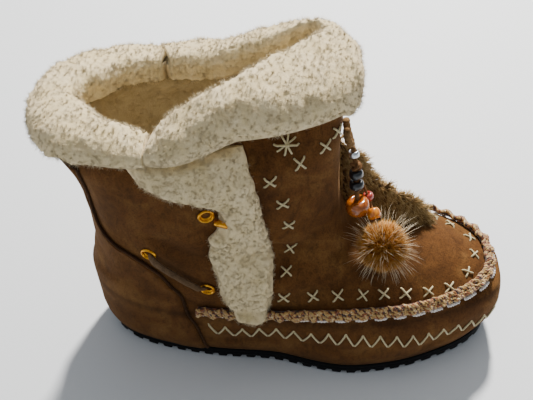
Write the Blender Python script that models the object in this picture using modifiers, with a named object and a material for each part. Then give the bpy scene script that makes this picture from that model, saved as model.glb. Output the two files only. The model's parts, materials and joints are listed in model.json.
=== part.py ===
"""A short mukluk boot for the right foot: suede shell, shearling cuffs, rubber sole, front tassel.

Metres, +Z up, +X to the toe, +Y to the inner side of the foot. The origin is on the floor, under the
middle of the heel. Every piece that lies on the shell is placed by the shell's own surface function.
"""

import math

import bmesh
import bpy
import numpy as np
from mathutils import Matrix, Vector

# Driving sizes of the last and the shell
LENGTH = 0.276
BALL_WIDTH = 0.104
SHAFT_DEPTH = 0.157
SHAFT_WIDTH = 0.095
HEEL_CENTRE = 0.036
SOLE_THICK = 0.0085
WALL_HEIGHT = 0.053
INSTEP_HEIGHT = 0.094
COLLAR_HEIGHT = 0.200
TOE_SPRING = 0.006
HEEL_ROLL = 0.0025
ARCH_RISE = 0.0015
TOE_SWING = 0.006
SHELL = 0.0026
GAP = 0.0003
MM = 0.001

# The shell is a stack of closed rings, from the sole's edge up to the collar. A level counts up from the
# sole (0) through the vamp seam (1) and the instep (2) to the collar (3). reach runs from the front of
# the shaft (0) to the toe tip (1), back is a share of the length, and the breadths are shares of half
# the shaft's width (heel) and of half the ball's width (outer and inner).
RINGS = [
    # name, back, reach, heel, outer, inner, level at back, level at middle, level at front, swing
    ("sole_edge", 0.022, 0.925, 0.885, 1.030, 0.960, 0.00, 0.00, 0.00, 1.00),
    ("wall_low", 0.008, 0.970, 0.950, 1.080, 1.020, 0.26, 0.26, 0.33, 1.00),
    ("wall_middle", 0.002, 0.985, 0.985, 1.075, 1.045, 0.62, 0.62, 0.66, 1.00),
    ("vamp_seam", 0.000, 0.970, 1.005, 1.000, 1.020, 1.00, 1.00, 0.93, 1.00),
    ("plug_rim", 0.000, 0.925, 1.005, 0.930, 0.950, 1.17, 1.22, 1.03, 1.00),
    ("plug_outer", 0.000, 0.845, 1.000, 0.820, 0.850, 1.33, 1.46, 1.16, 0.95),
    ("plug_middle", 0.007, 0.710, 1.000, 0.730, 0.760, 1.52, 1.72, 1.36, 0.85),
    ("plug_inner", 0.011, 0.530, 0.995, 0.670, 0.690, 1.72, 1.93, 1.57, 0.70),
    ("plug_top", 0.017, 0.330, 0.990, 0.640, 0.660, 1.91, 2.08, 1.79, 0.50),
    ("throat", 0.022, 0.145, 0.990, 0.660, 0.670, 2.05, 2.16, 2.00, 0.30),
    ("ankle", 0.021, 0.045, 0.990, 0.720, 0.720, 2.14, 2.22, 2.13, 0.15),
    ("shaft_low", 0.018, 0.008, 0.990, 0.760, 0.750, 2.27, 2.34, 2.30, 0.05),
    ("shaft_middle", 0.013, -0.008, 1.000, 0.780, 0.770, 2.43, 2.51, 2.50, 0.00),
    ("shaft_high", -0.006, -0.018, 1.005, 0.780, 0.780, 2.61, 2.71, 2.73, 0.00),
    ("under_cuff", -0.034, -0.012, 0.960, 0.660, 0.780, 2.75, 2.83, 2.91, 0.00),
    ("collar", -0.050, 0.000, 0.880, 0.480, 0.740, 2.88, 3.00, 3.12, 0.00),
]
# Breadth along one ring, from its back (0) to its front (1)
OUTLINE = [
    # along, heel, outer, inner
    (0.00, 0.85, 1.00, 1.00),
    (0.10, 0.98, 1.00, 0.96),
    (0.35, 1.00, 1.00, 0.92),
    (0.60, 1.00, 0.99, 0.96),
    (0.74, 1.00, 1.00, 1.03),
    (0.86, 1.00, 0.96, 1.08),
    (0.94, 1.00, 0.93, 1.02),
    (1.00, 1.00, 0.90, 0.90),
]
HEEL_TO_BALL = (0.42, 0.66)
MIDDLE_OF_RING = 0.62
HEEL_ROUND = 0.64
TOE_ROUND = 0.62
# The rings of the plug are more pointed at the toe than the wall and the shaft, which makes it a dome
PLUG_POINT = 0.30
PLUG_ROWS = (0.27, 0.40, 0.53, 0.66)
RING_POINTS = 40
ROWS = 23


def smooth(share):
    share = min(max(share, 0.0), 1.0)
    return share * share * (3.0 - 2.0 * share)


def mix(a, b, share):
    return a + (b - a) * share


def curve_at(xs, ys, x):
    """A smooth curve through a short table, level where the table turns."""
    xs = list(xs)
    if x <= xs[0]:
        return ys[0]
    if x >= xs[-1]:
        return ys[-1]
    i = max(k for k in range(len(xs) - 1) if xs[k] <= x)
    step = [(ys[k + 1] - ys[k]) / (xs[k + 1] - xs[k]) for k in range(len(xs) - 1)]

    def slope(k):
        if k == 0:
            return step[0]
        if k == len(xs) - 1:
            return step[-1]
        if step[k - 1] * step[k] <= 0:
            return 0.0
        return 2.0 * step[k - 1] * step[k] / (step[k - 1] + step[k])

    width = xs[i + 1] - xs[i]
    t = (x - xs[i]) / width
    h00, h10 = (1 + 2 * t) * (1 - t) ** 2, t * (1 - t) ** 2
    h01, h11 = t * t * (3 - 2 * t), t * t * (t - 1)
    return h00 * ys[i] + h10 * width * slope(i) + h01 * ys[i + 1] + h11 * width * slope(i + 1)


RING_AT = {row[0]: k / (len(RINGS) - 1) for k, row in enumerate(RINGS)}
RING_SHARES = [k / (len(RINGS) - 1) for k in range(len(RINGS))]
RING_COLUMNS = list(zip(*[row[1:] for row in RINGS]))
OUTLINE_COLUMNS = list(zip(*OUTLINE))
LEVELS = [0.0, 1.0, 2.0, 3.0]


def sole_lift(x):
    """How far the tread rises over the floor: rolled at the heel, low at the arch, sprung at the toe."""
    along = (x + HEEL_CENTRE) / LENGTH
    toe = TOE_SPRING * max(0.0, (along - 0.74) / 0.24) ** 2
    heel = HEEL_ROLL * max(0.0, (0.07 - along) / 0.06) ** 2
    arch = ARCH_RISE * math.sin(math.pi * min(max((along - 0.27) / 0.26, 0.0), 1.0)) ** 2
    return toe + heel + arch


def height_of(level, x):
    heights = [sole_lift(x) + SOLE_THICK + GAP, WALL_HEIGHT, INSTEP_HEIGHT, COLLAR_HEIGHT]
    if level > LEVELS[-1]:
        return heights[-1] + (level - LEVELS[-1]) * (heights[-1] - heights[-2])
    return float(np.interp(level, LEVELS, heights))


def ring_values(row):
    return [curve_at(RING_SHARES, column, row) for column in RING_COLUMNS]


def toe_round(row):
    rise, full, fall, end = PLUG_ROWS
    return TOE_ROUND + PLUG_POINT * smooth((row - rise) / (full - rise)) * smooth((end - row) / (end - fall))


def shell_point(turn, row):
    """A point of the shell's outer face. turn runs 0 at the heel, through pi at the toe, the outer side
    of the foot first. row runs 0 at the sole's edge to 1 at the collar."""
    back, reach, heel, outer, inner, low, middle, high, swing = ring_values(row)
    start = back * LENGTH - HEEL_CENTRE
    end = mix(SHAFT_DEPTH, LENGTH, reach) - HEEL_CENTRE
    along = (1.0 - math.cos(turn)) / 2.0
    x = mix(start, end, along)
    inner_side = math.sin(turn) < 0.0
    toward_ball = smooth((along - HEEL_TO_BALL[0]) / (HEEL_TO_BALL[1] - HEEL_TO_BALL[0]))
    at_heel = heel * SHAFT_WIDTH / 2.0 * curve_at(OUTLINE_COLUMNS[0], OUTLINE_COLUMNS[1], along)
    side = OUTLINE_COLUMNS[3 if inner_side else 2]
    at_ball = (inner if inner_side else outer) * BALL_WIDTH / 2.0 * curve_at(OUTLINE_COLUMNS[0], side, along)
    power = mix(HEEL_ROUND, toe_round(row), smooth(along))
    breadth = mix(at_heel, at_ball, toward_ball) * abs(math.sin(turn)) ** power
    y = (breadth if inner_side else -breadth) + swing * TOE_SWING * smooth((along - 0.5) / 0.5)
    level = curve_at([0.0, MIDDLE_OF_RING, 1.0], [low, middle, high], along)
    return Vector((x, y, height_of(level, x)))


def shell_normal(turn, row):
    """Outward direction of the shell's face, measured across a few millimetres of it."""
    step_turn, step_row = 0.05, 0.012
    a = shell_point(turn - step_turn, row)
    b = shell_point(turn + step_turn, row)
    c = shell_point(turn, max(row - step_row, 0.0))
    d = shell_point(turn, min(row + step_row, 1.0))
    return (b - a).cross(d - c).normalized()


def on_shell(turn, row, lift=0.0):
    return shell_point(turn, row) + shell_normal(turn, row) * lift


def find_on_shell(x, z, inner_side=False):
    """The turn and row where the shell has this x and height, on the outer or the inner side."""
    low, high = 0.0, 1.0

    def turn_at(row):
        back, reach = ring_values(row)[:2]
        start = back * LENGTH - HEEL_CENTRE
        end = mix(SHAFT_DEPTH, LENGTH, reach) - HEEL_CENTRE
        share = min(max((x - start) / (end - start), 0.0), 1.0)
        turn = math.acos(1.0 - 2.0 * share)
        return 2.0 * math.pi - turn if inner_side else turn

    for _ in range(30):
        row = (low + high) / 2.0
        if shell_point(turn_at(row), row).z < z:
            low = row
        else:
            high = row
    return turn_at(row), row


# Helpers that make objects
def clear_scene():
    for obj in list(bpy.data.objects):
        bpy.data.objects.remove(obj, do_unlink=True)


def finish_material(name, colour, roughness, metallic=0.0):
    material = bpy.data.materials.new(name)
    material.use_nodes = True
    shader = material.node_tree.nodes["Principled BSDF"]
    shader.inputs["Base Color"].default_value = (*colour, 1.0)
    shader.inputs["Roughness"].default_value = roughness
    shader.inputs["Metallic"].default_value = metallic
    return material


def collection_named(name):
    found = bpy.data.collections.get(name)
    if found is None:
        found = bpy.data.collections.new(name)
        bpy.context.scene.collection.children.link(found)
    return found


def add_object(name, data, material=None, collection="Mukluk"):
    obj = bpy.data.objects.new(name, data)
    if material is not None:
        data.materials.append(material)
    collection_named(collection).objects.link(obj)
    return obj


def mesh_of_rows(rows, closed_rows, caps=True):
    """A mesh through rows of points, each row as long as the next. Closed rows make a tube."""
    bm = bmesh.new()
    grid = [[bm.verts.new(p) for p in row] for row in rows]
    count = len(grid[0])
    for a, b in zip(grid, grid[1:]):
        for k in range(count if closed_rows else count - 1):
            j = (k + 1) % count
            bm.faces.new((a[k], a[j], b[j], b[k]))
    if caps and closed_rows:
        bm.faces.new(list(reversed(grid[0])))
        bm.faces.new(grid[-1])
    return bm


def mesh_from(bm, name, smooth_angle=40.0):
    bmesh.ops.remove_doubles(bm, verts=bm.verts, dist=1e-6)
    bmesh.ops.triangulate(bm, faces=[f for f in bm.faces if len(f.verts) > 4])
    bmesh.ops.recalc_face_normals(bm, faces=bm.faces)
    mesh = bpy.data.meshes.new(name)
    bm.to_mesh(mesh)
    bm.free()
    mesh.shade_smooth()
    mesh.set_sharp_from_angle(angle=math.radians(smooth_angle))
    return mesh


def add_solid(name, bm, material):
    return add_object(name, mesh_from(bm, name), material)


def cut(target, cutter, operation="DIFFERENCE"):
    """Cuts and keeps the result as the target's own mesh."""
    modifier = target.modifiers.new("cut", "BOOLEAN")
    modifier.operation = operation
    modifier.solver = "EXACT"
    modifier.object = cutter
    graph = bpy.context.evaluated_depsgraph_get()
    made = bpy.data.meshes.new_from_object(target.evaluated_get(graph))
    target.modifiers.clear()
    target.data = made


def add_cutter(name, bm):
    obj = add_object(name, mesh_from(bm, name), None, "Cutters")
    obj.hide_render = True
    obj.display_type = "WIRE"
    return obj


def add_tube(name, points, radius, material, sides_resolution=2):
    data = bpy.data.curves.new(name, "CURVE")
    data.dimensions = "3D"
    spline = data.splines.new("POLY")
    spline.points.add(len(points) - 1)
    for point, place in zip(spline.points, points):
        point.co = (*place, 1.0)
    data.bevel_depth = radius
    data.bevel_resolution = sides_resolution
    data.use_fill_caps = True
    return add_object(name, data, material)


def smooth_route(points, count):
    """count places on a smooth curve through the points."""
    shares = [0.0]
    for a, b in zip(points, points[1:]):
        shares.append(shares[-1] + (Vector(b) - Vector(a)).length)
    shares = [s / shares[-1] for s in shares]
    columns = list(zip(*points))
    return [Vector([curve_at(shares, c, k / (count - 1)) for c in columns]) for k in range(count)]


SUEDE = finish_material("tan_suede", (0.27, 0.14, 0.05), 0.95)
SUEDE_DARK = finish_material("dark_suede", (0.06, 0.03, 0.015), 0.9)
SHEARLING = finish_material("cream_shearling", (0.72, 0.62, 0.46), 1.0)
RUBBER = finish_material("black_rubber", (0.012, 0.012, 0.014), 0.7)
YARN = finish_material("mixed_yarn", (0.50, 0.28, 0.12), 0.9)
BRASS = finish_material("gold_brass", (0.80, 0.50, 0.12), 0.3, 1.0)
HARE_FUR = finish_material("brown_fur", (0.20, 0.13, 0.07), 1.0)
FOX_FUR = finish_material("orange_fur", (0.45, 0.18, 0.05), 1.0)
AMBER = finish_material("amber_resin", (0.60, 0.22, 0.03), 0.2)
BLACK_BEAD = finish_material("black_bead", (0.01, 0.01, 0.012), 0.2)
SILVER = finish_material("silver_bead", (0.7, 0.7, 0.72), 0.25, 1.0)


# The outsole: a slab with the last's outline, toe spring and lugs cut across it
SOLE_LIP = 0.0012
SOLE_INSET = 0.0016
LUG_PITCH = 0.0100
LUG_GAP = 0.0036
LUG_DEPTH = 0.0034
SOLE_STATIONS = 28


def sole_ring(outward, height):
    ring = []
    count = 2 * SOLE_STATIONS
    for k in range(count):
        turn = 2.0 * math.pi * k / count
        place = shell_point(turn, 0.0)
        normal = shell_normal(turn, 0.0)
        flat = Vector((normal.x, normal.y, 0.0)).normalized()
        spot = place + flat * outward
        ring.append(Vector((spot.x, spot.y, sole_lift(spot.x) + height)))
    return ring


def ladder_cap(bm, ring, upward):
    """Closes a ring whose two sides have matching stations, rung by rung."""
    count = len(ring)
    for k in range(count // 2):
        a, b = ring[k], ring[(k + 1) % count]
        c, d = ring[(count - k - 1) % count], ring[(count - k) % count]
        corners = list(dict.fromkeys((a, b, c, d)))
        if len(corners) > 2:
            bm.faces.new(corners if upward else list(reversed(corners)))


def make_outsole():
    bm = bmesh.new()
    sections = [
        # outward from the shell's edge, height over the tread
        (SOLE_LIP - SOLE_INSET, 0.0),
        (SOLE_LIP, LUG_DEPTH * 0.5),
        (SOLE_LIP, SOLE_THICK - 0.0008),
        (SOLE_LIP - 0.0006, SOLE_THICK),
    ]
    rings = []
    for outward, height in sections:
        rings.append([bm.verts.new(p) for p in sole_ring(outward, height)])
    count = len(rings[0])
    for low, high in zip(rings, rings[1:]):
        for k in range(count):
            j = (k + 1) % count
            bm.faces.new((low[k], low[j], high[j], high[k]))
    ladder_cap(bm, rings[0], False)
    ladder_cap(bm, rings[-1], True)
    sole = add_solid("outsole", bm, RUBBER)
    grooves = bmesh.new()
    x = -HEEL_CENTRE + LUG_PITCH * 0.9
    while x < LENGTH - HEEL_CENTRE - LUG_PITCH:
        if abs(x) > LUG_PITCH * 0.8:
            made = bmesh.ops.create_cube(grooves, size=1.0)["verts"]
            depth = 2.0 * LUG_DEPTH
            bmesh.ops.scale(grooves, verts=made, vec=(LUG_GAP, 2.0 * BALL_WIDTH, depth))
            bmesh.ops.translate(grooves, verts=made, vec=(x, 0.0, sole_lift(x) + LUG_DEPTH - depth / 2.0))
        x += LUG_PITCH
    cut(sole, add_cutter("tread_grooves", grooves))
    return sole


# The upper: one hollow suede shell
def eyelet_frame(x, z, inner_side):
    turn, row = find_on_shell(x, z, inner_side)
    place = shell_point(turn, row)
    normal = shell_normal(turn, row)
    return place, normal


EYELETS = [
    # name, along the shaft's depth, share of the collar's height
    ("back", 0.280, 0.555),
    ("front", 0.497, 0.412),
    ("top", 0.510, 0.745),
]
EYELET_HOLE = 0.0062
EYELET_FLANGE = 0.0100
EYELET_WALL = 0.0006
SIDES = [("lateral", False), ("medial", True)]


def eyelet_place(name, inner_side):
    row = next(r for r in EYELETS if r[0] == name)
    x = row[1] * SHAFT_DEPTH - HEEL_CENTRE
    return eyelet_frame(x, row[2] * COLLAR_HEIGHT, inner_side)


def aim(place, normal):
    """A matrix that takes +Z to the normal, at the place."""
    return Matrix.Translation(place) @ normal.to_track_quat("Z", "Y").to_matrix().to_4x4()


def make_upper():
    bm = bmesh.new()
    rows = []
    for r in range(ROWS + 1):
        row = r / ROWS
        rows.append([shell_point(2.0 * math.pi * k / RING_POINTS, row) for k in range(RING_POINTS)])
    grid = [[bm.verts.new(p) for p in row] for row in rows]
    for low, high in zip(grid, grid[1:]):
        for k in range(RING_POINTS):
            j = (k + 1) % RING_POINTS
            bm.faces.new((low[k], low[j], high[j], high[k]))
    upper = add_object("upper", mesh_from(bm, "upper"), SUEDE)
    wall = upper.modifiers.new("wall", "SOLIDIFY")
    wall.thickness = SHELL
    wall.offset = -1.0
    wall.use_even_offset = True
    wall.use_quality_normals = True
    holes = bmesh.new()
    for name, _, _ in EYELETS:
        for _, inner_side in SIDES:
            place, normal = eyelet_place(name, inner_side)
            bmesh.ops.create_cone(
                holes, cap_ends=True, segments=14, radius1=EYELET_HOLE / 2.0, radius2=EYELET_HOLE / 2.0,
                depth=6.0 * SHELL, matrix=aim(place, normal),
            )
    cut(upper, add_cutter("eyelet_holes", holes))
    return upper


# The insole lies on the outsole, inside the shell
INSOLE_THICK = 0.0050
INSOLE_CLEAR = 0.0020


def make_insole():
    bm = bmesh.new()
    rings = []
    inset = SHELL + INSOLE_CLEAR
    for outward, height in ((-inset, SOLE_THICK + GAP), (-inset, SOLE_THICK + GAP + INSOLE_THICK)):
        rings.append([bm.verts.new(p) for p in sole_ring(outward, height)])
    count = len(rings[0])
    for k in range(count):
        j = (k + 1) % count
        bm.faces.new((rings[0][k], rings[0][j], rings[1][j], rings[1][k]))
    ladder_cap(bm, rings[0], False)
    ladder_cap(bm, rings[1], True)
    return add_solid("insole", bm, SHEARLING)


# Overlays lie on the shell: a grid of places on it, with a thickness that falls off to the rim
BASE = 0.0008


def row_at(turn, z):
    """The row where the shell reaches this height, at one turn."""
    low, high = 0.0, 1.0
    for _ in range(26):
        row = (low + high) / 2.0
        if shell_point(turn, row).z < z:
            low = row
        else:
            high = row
    return row


def patch_mesh(places, thick, rim, base):
    """A closed pad over a grid of (turn, row) places. rim is the thickness left at its border."""
    last_i, last_j = len(places) - 1, len(places[0]) - 1
    bm = bmesh.new()
    outer, inner = [], []
    for i, line in enumerate(places):
        outer.append([])
        inner.append([])
        for j, (turn, row) in enumerate(line):
            edge = min(i, last_i - i, 2) / 2.0, min(j, last_j - j, 2) / 2.0
            fall = math.sin(edge[0] * math.pi / 2.0) * math.sin(edge[1] * math.pi / 2.0)
            outer[-1].append(bm.verts.new(on_shell(turn, row, base + mix(rim, thick, fall))))
            inner[-1].append(bm.verts.new(on_shell(turn, row, base)))
    for i in range(last_i):
        for j in range(last_j):
            bm.faces.new((outer[i][j], outer[i + 1][j], outer[i + 1][j + 1], outer[i][j + 1]))
            bm.faces.new((inner[i][j], inner[i][j + 1], inner[i + 1][j + 1], inner[i + 1][j]))
    border = [(i, 0) for i in range(last_i)] + [(last_i, j) for j in range(last_j)]
    border += [(i, last_j) for i in range(last_i, 0, -1)] + [(0, j) for j in range(last_j, 0, -1)]
    for (i, j), (m, n) in zip(border, border[1:] + border[:1]):
        bm.faces.new((outer[i][j], inner[i][j], inner[m][n], outer[m][n]))
    return bm


# The back panel: it wraps the heel, sweeps back along the ankle and runs up under the cuff. Its edge
# carries a dark piping
COUNTER_EDGE = [
    # share of the edge's height, how far forward as a share of the shaft's depth
    (0.000, 0.471),
    (0.163, 0.441),
    (0.261, 0.406),
    (0.365, 0.390),
    (0.457, 0.332),
    (0.533, 0.269),
    (0.579, 0.202),
    (0.613, 0.132),
    (0.661, 0.083),
    (0.736, 0.070),
    (0.862, 0.067),
    (1.000, 0.060),
]
COUNTER_TOP = 0.860
COUNTER_FOOT = 0.0128
COUNTER_THICK = 0.0014
PIPING = 0.0026
PIPING_SHARES = (0.0, 0.10, 0.20, 0.30, 0.38, 0.46, 0.53, 0.58, 0.62, 0.67, 0.74, 0.82, 0.91, 1.0)
PIPING_POINTS = 60
COUNTER_ROWS = 16
COUNTER_COLUMNS = 14


def counter_edge(share, inset=0.0):
    """The panel's edge, as x and height, or a line that runs inside it."""
    columns = list(zip(*COUNTER_EDGE))

    def at(s):
        forward = curve_at(*columns, s)
        return Vector((forward * SHAFT_DEPTH - HEEL_CENTRE, mix(COUNTER_FOOT, COUNTER_TOP * COLLAR_HEIGHT, s)))

    step = 0.01
    run = (at(min(share + step, 1.0)) - at(max(share - step, 0.0))).normalized()
    spot = at(share) + Vector((-run.y, run.x)) * inset
    return spot.x, spot.y


def make_heel_counter():
    places = []
    inset = PIPING + 2.0 * GAP
    for r in range(COUNTER_ROWS + 1):
        share = r / COUNTER_ROWS
        x, z = counter_edge(share, inset)
        z = min(z, COUNTER_TOP * COLLAR_HEIGHT - inset)
        edge_turn = find_on_shell(x, z)[0]
        line = []
        for c in range(COUNTER_COLUMNS + 1):
            turn = edge_turn * (1.0 - 2.0 * c / COUNTER_COLUMNS)
            line.append((turn, row_at(turn, z)))
        places.append(line)
    return add_solid("heel_counter", patch_mesh(places, COUNTER_THICK, COUNTER_THICK, 2.6 * BASE), SUEDE)


def make_counter_piping():
    lift = PIPING / 2.0 + BASE / 2.0
    side = []
    for share in PIPING_SHARES:
        x, z = counter_edge(share)
        side.append(find_on_shell(x, z))
    top_turn = side[-1][0]
    back = [top_turn * (1.0 - 2.0 * k / 12) for k in range(1, 12)]
    route = [on_shell(t, r, lift) for t, r in side]
    route += [on_shell(t, row_at(t, COUNTER_TOP * COLLAR_HEIGHT), lift) for t in back]
    route += [on_shell(-t, r, lift) for t, r in reversed(side)]
    return add_tube("counter_piping", smooth_route([tuple(p) for p in route], PIPING_POINTS), PIPING / 2.0, SUEDE_DARK, 1)


# The braid over the vamp seam, a chain of yarn that stands up as a ridge
BRAID_WIDTH = 0.0085
BRAID_RISE = 0.0052
BRAID_START = 0.458
BRAID_STATIONS = 56
BRAID_LUMP = 0.10
BRAID_ROWS = [
    # turn as a share of pi, row that the braid's middle follows
    (0.30, 0.256),
    (0.36, 0.262),
    (0.50, 0.273),
    (0.58, 0.266),
    (0.66, 0.268),
    (0.72, 0.274),
    (0.78, 0.286),
    (0.86, 0.302),
    (0.94, 0.308),
    (1.00, 0.300),
    (1.10, 0.280),
    (1.24, 0.268),
    (1.34, 0.264),
    (1.50, 0.262),
    (1.70, 0.256),
]


def make_vamp_braid():
    shares, middles = zip(*BRAID_ROWS)
    start = find_on_shell(BRAID_START * SHAFT_DEPTH - HEEL_CENTRE, WALL_HEIGHT)[0]
    section = [(-0.50, 0.0), (-0.46, 0.45), (-0.24, 0.90), (0.0, 1.0), (0.24, 0.90), (0.46, 0.45), (0.50, 0.0)]
    rows = []
    for k in range(BRAID_STATIONS + 1):
        turn = mix(start, 2.0 * math.pi - start, k / BRAID_STATIONS)
        middle = curve_at(shares, middles, turn / math.pi)
        place = shell_point(turn, middle)
        normal = shell_normal(turn, middle)
        tangent = (shell_point(turn + 0.02, middle) - shell_point(turn - 0.02, middle)).normalized()
        across = normal.cross(tangent).normalized()
        swell = 1.0 + BRAID_LUMP * (1 if k % 2 else -1)
        row = []
        for b, n in section:
            row.append(place + across * b * BRAID_WIDTH * swell + normal * (BASE + n * BRAID_RISE * swell))
        rows.append(row)
    return add_solid("vamp_braid", mesh_of_rows(rows, True), YARN)


# The shearling side bands, from the cuff down to the braid
BAND = [
    # share of the collar's height, left edge and right edge as shares of the shaft's depth
    (0.368, 0.585, 0.738),
    (0.400, 0.555, 0.748),
    (0.490, 0.540, 0.750),
    (0.570, 0.512, 0.742),
    (0.650, 0.515, 0.722),
    (0.690, 0.548, 0.714),
    (0.770, 0.553, 0.699),
    (0.803, 0.490, 0.691),
    (0.835, 0.380, 0.683),
    (0.870, 0.285, 0.670),
    (0.915, 0.230, 0.645),
]
BAND_THICK = 0.0085
BAND_ROWS = 14
BAND_COLUMNS = 5


def make_side_band(side, inner_side):
    heights, left, right = zip(*BAND)
    places = []
    for r in range(BAND_ROWS + 1):
        share = mix(heights[0], heights[-1], r / BAND_ROWS)
        a = curve_at(heights, left, share)
        b = curve_at(heights, right, share)
        line = []
        for c in range(BAND_COLUMNS + 1):
            x = mix(a, b, c / BAND_COLUMNS) * SHAFT_DEPTH - HEEL_CENTRE
            line.append(find_on_shell(x, share * COLLAR_HEIGHT, inner_side))
        places.append(line)
    return add_solid("side_band_" + side, patch_mesh(places, BAND_THICK, BAND_THICK * 0.35, 1.3 * BASE), SHEARLING)


# The cuffs: shearling folded out over the collar's edge. The front one's near side leans in over the opening
CUFF_THICK = 0.0140
CUFF_INSIDE = 0.04
CUFF_HIGHEST = 0.972
CUFF_BELLY = 0.95
CUFF_LIP = 0.62
CUFF_CLEAR = 0.0012
CUFF_STATIONS = 27
WOOL_POINTS = 9
NOTCH = 0.325
NOTCH_GAP = 0.012
BACK_CUFF = [
    # share of the way round, lower edge as a share of the collar's height, thickness as a share, the
    # ridge's x and y in millimetres, its height as a share of the collar's, and how far the wool goes in
    # and down from the ridge, in millimetres
    (0.00, 0.930, 0.80, 14.0, -35.0, 1.000, 5.0, 14.0),
    (0.15, 0.925, 1.00, -8.0, -31.0, 1.015, 9.0, 16.0),
    (0.30, 0.928, 0.85, -22.0, -21.0, 1.015, 9.0, 17.0),
    (0.50, 0.920, 0.62, -36.0, 0.0, 1.010, 9.0, 17.0),
    (0.70, 0.928, 0.80, -23.0, 22.0, 1.010, 12.0, 17.0),
    (0.85, 0.925, 0.90, -8.0, 33.0, 1.000, 10.0, 16.0),
    (1.00, 0.930, 0.80, 14.0, 37.0, 0.990, 7.0, 14.0),
]
FRONT_CUFF = [
    (0.000, 0.985, 0.80, 18.0, -36.0, 1.010, 6.0, 14.0),
    (0.060, 0.982, 1.00, 30.0, -31.0, 1.060, 7.0, 16.0),
    (0.120, 0.980, 1.10, 46.0, -25.0, 1.100, 7.0, 18.0),
    (0.200, 0.990, 1.15, 64.0, -13.0, 1.115, 6.0, 20.0),
    (0.290, 1.000, 1.00, 80.0, 2.0, 1.120, 6.0, 20.0),
    (0.370, 1.010, 0.80, 92.0, 12.0, 1.125, 5.0, 20.0),
    (0.440, 0.985, 0.62, 101.0, 18.0, 1.135, 5.0, 20.0),
    (0.500, 0.965, 0.60, 107.0, 22.0, 1.140, 5.0, 20.0),
    (0.560, 0.975, 0.65, 108.0, 26.0, 1.145, 5.0, 20.0),
    (0.640, 0.995, 0.85, 103.0, 31.0, 1.140, 5.0, 20.0),
    (0.750, 0.995, 1.00, 82.0, 33.0, 1.105, 9.0, 18.0),
    (0.880, 0.980, 0.90, 47.0, 34.0, 1.030, 9.0, 16.0),
    (1.000, 0.985, 0.80, 18.0, 36.0, 0.995, 7.0, 14.0),
]


def cuff_ring(turn, low, thick, ridge, reach, drop):
    """One section of a cuff: up the shell's outer face, over its edge, and back over the wool's ridge."""
    row_low = min(row_at(turn, low), CUFF_HIGHEST)
    middle = (1.0 + row_low) / 2.0
    edge = shell_point(turn, 1.0)
    normal = shell_normal(turn, 1.0)
    out = Vector((normal.x, normal.y, 0.0)).normalized()
    up = Vector((0.0, 0.0, 1.0))
    wall = SHELL + 3.0 * CUFF_CLEAR
    hidden = [on_shell(turn, row_low, CUFF_CLEAR), on_shell(turn, middle, CUFF_CLEAR), edge + out * CUFF_CLEAR + up * BASE]
    hidden += [edge - out * wall + up * BASE, on_shell(turn, 1.0 - CUFF_INSIDE, -wall)]
    inward = (Vector((ridge.x - edge.x, ridge.y - edge.y, 0.0)) - out * CUFF_THICK).normalized()
    shoulder = edge + out * thick * CUFF_BELLY + up * (ridge.z - edge.z) * 0.30
    crown = shoulder.lerp(ridge, 0.45) + up * (ridge.z - shoulder.z) * 0.42
    wool = [
        ridge + inward * reach - up * drop,
        ridge + inward * reach * 0.92 - up * drop * 0.45,
        ridge + inward * reach * 0.45 - up * drop * 0.08,
        ridge,
        crown,
        shoulder,
        on_shell(turn, middle, thick * CUFF_BELLY),
        on_shell(turn, row_low, thick * CUFF_LIP),
    ]
    return smooth_route([tuple(p) for p in wool], WOOL_POINTS) + hidden


def make_cuff(name, table, start, end):
    columns = list(zip(*table))
    rows = []
    for k in range(CUFF_STATIONS + 1):
        share = k / CUFF_STATIONS
        low, thick, x, y, z, reach, drop = [curve_at(columns[0], column, share) for column in columns[1:]]
        rows.append(cuff_ring(
            mix(start, end, share),
            low * COLLAR_HEIGHT,
            thick * CUFF_THICK,
            Vector((x * MM, y * MM, z * COLLAR_HEIGHT)),
            reach * MM,
            drop * MM,
        ))
    return add_solid(name, mesh_of_rows(rows, True), SHEARLING)


def make_cuffs():
    notch = find_on_shell(NOTCH * SHAFT_DEPTH - HEEL_CENTRE, COLLAR_HEIGHT * 0.97)[0]
    make_cuff("cuff_back", BACK_CUFF, notch - NOTCH_GAP, NOTCH_GAP - notch)
    make_cuff("cuff_front", FRONT_CUFF, notch + NOTCH_GAP, 2.0 * math.pi - notch - NOTCH_GAP)


# The fur strip from the shaft's front down over the instep to the braid's inner side
FUR_STRIP = [
    # along it, turn as a share of pi, half width in turn, level of its lower and its upper edge in rows
    (0.00, 1.050, 0.690, 0.810),
    (0.35, 1.090, 0.560, 0.745),
    (0.70, 1.190, 0.410, 0.600),
    (1.00, 1.320, 0.318, 0.500),
]
FUR_THICK = 0.0090
FUR_ROWS = 14
FUR_COLUMNS = 7


def make_instep_fur():
    shares, turns, lows, highs = zip(*FUR_STRIP)
    places = []
    for k in range(FUR_ROWS + 1):
        share = k / FUR_ROWS
        turn = curve_at(shares, turns, share) * math.pi
        low, high = curve_at(shares, lows, share), curve_at(shares, highs, share)
        places.append([(turn, mix(low, high, c / FUR_COLUMNS)) for c in range(FUR_COLUMNS + 1)])
    return add_solid("instep_fur", patch_mesh(places, FUR_THICK, FUR_THICK * 0.35, 1.9 * BASE), HARE_FUR)


# Brass eyelets: a flange outside the wall and a barrel through it
EYELET_BORE = 0.0044
EYELET_SIDES = 12


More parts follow.
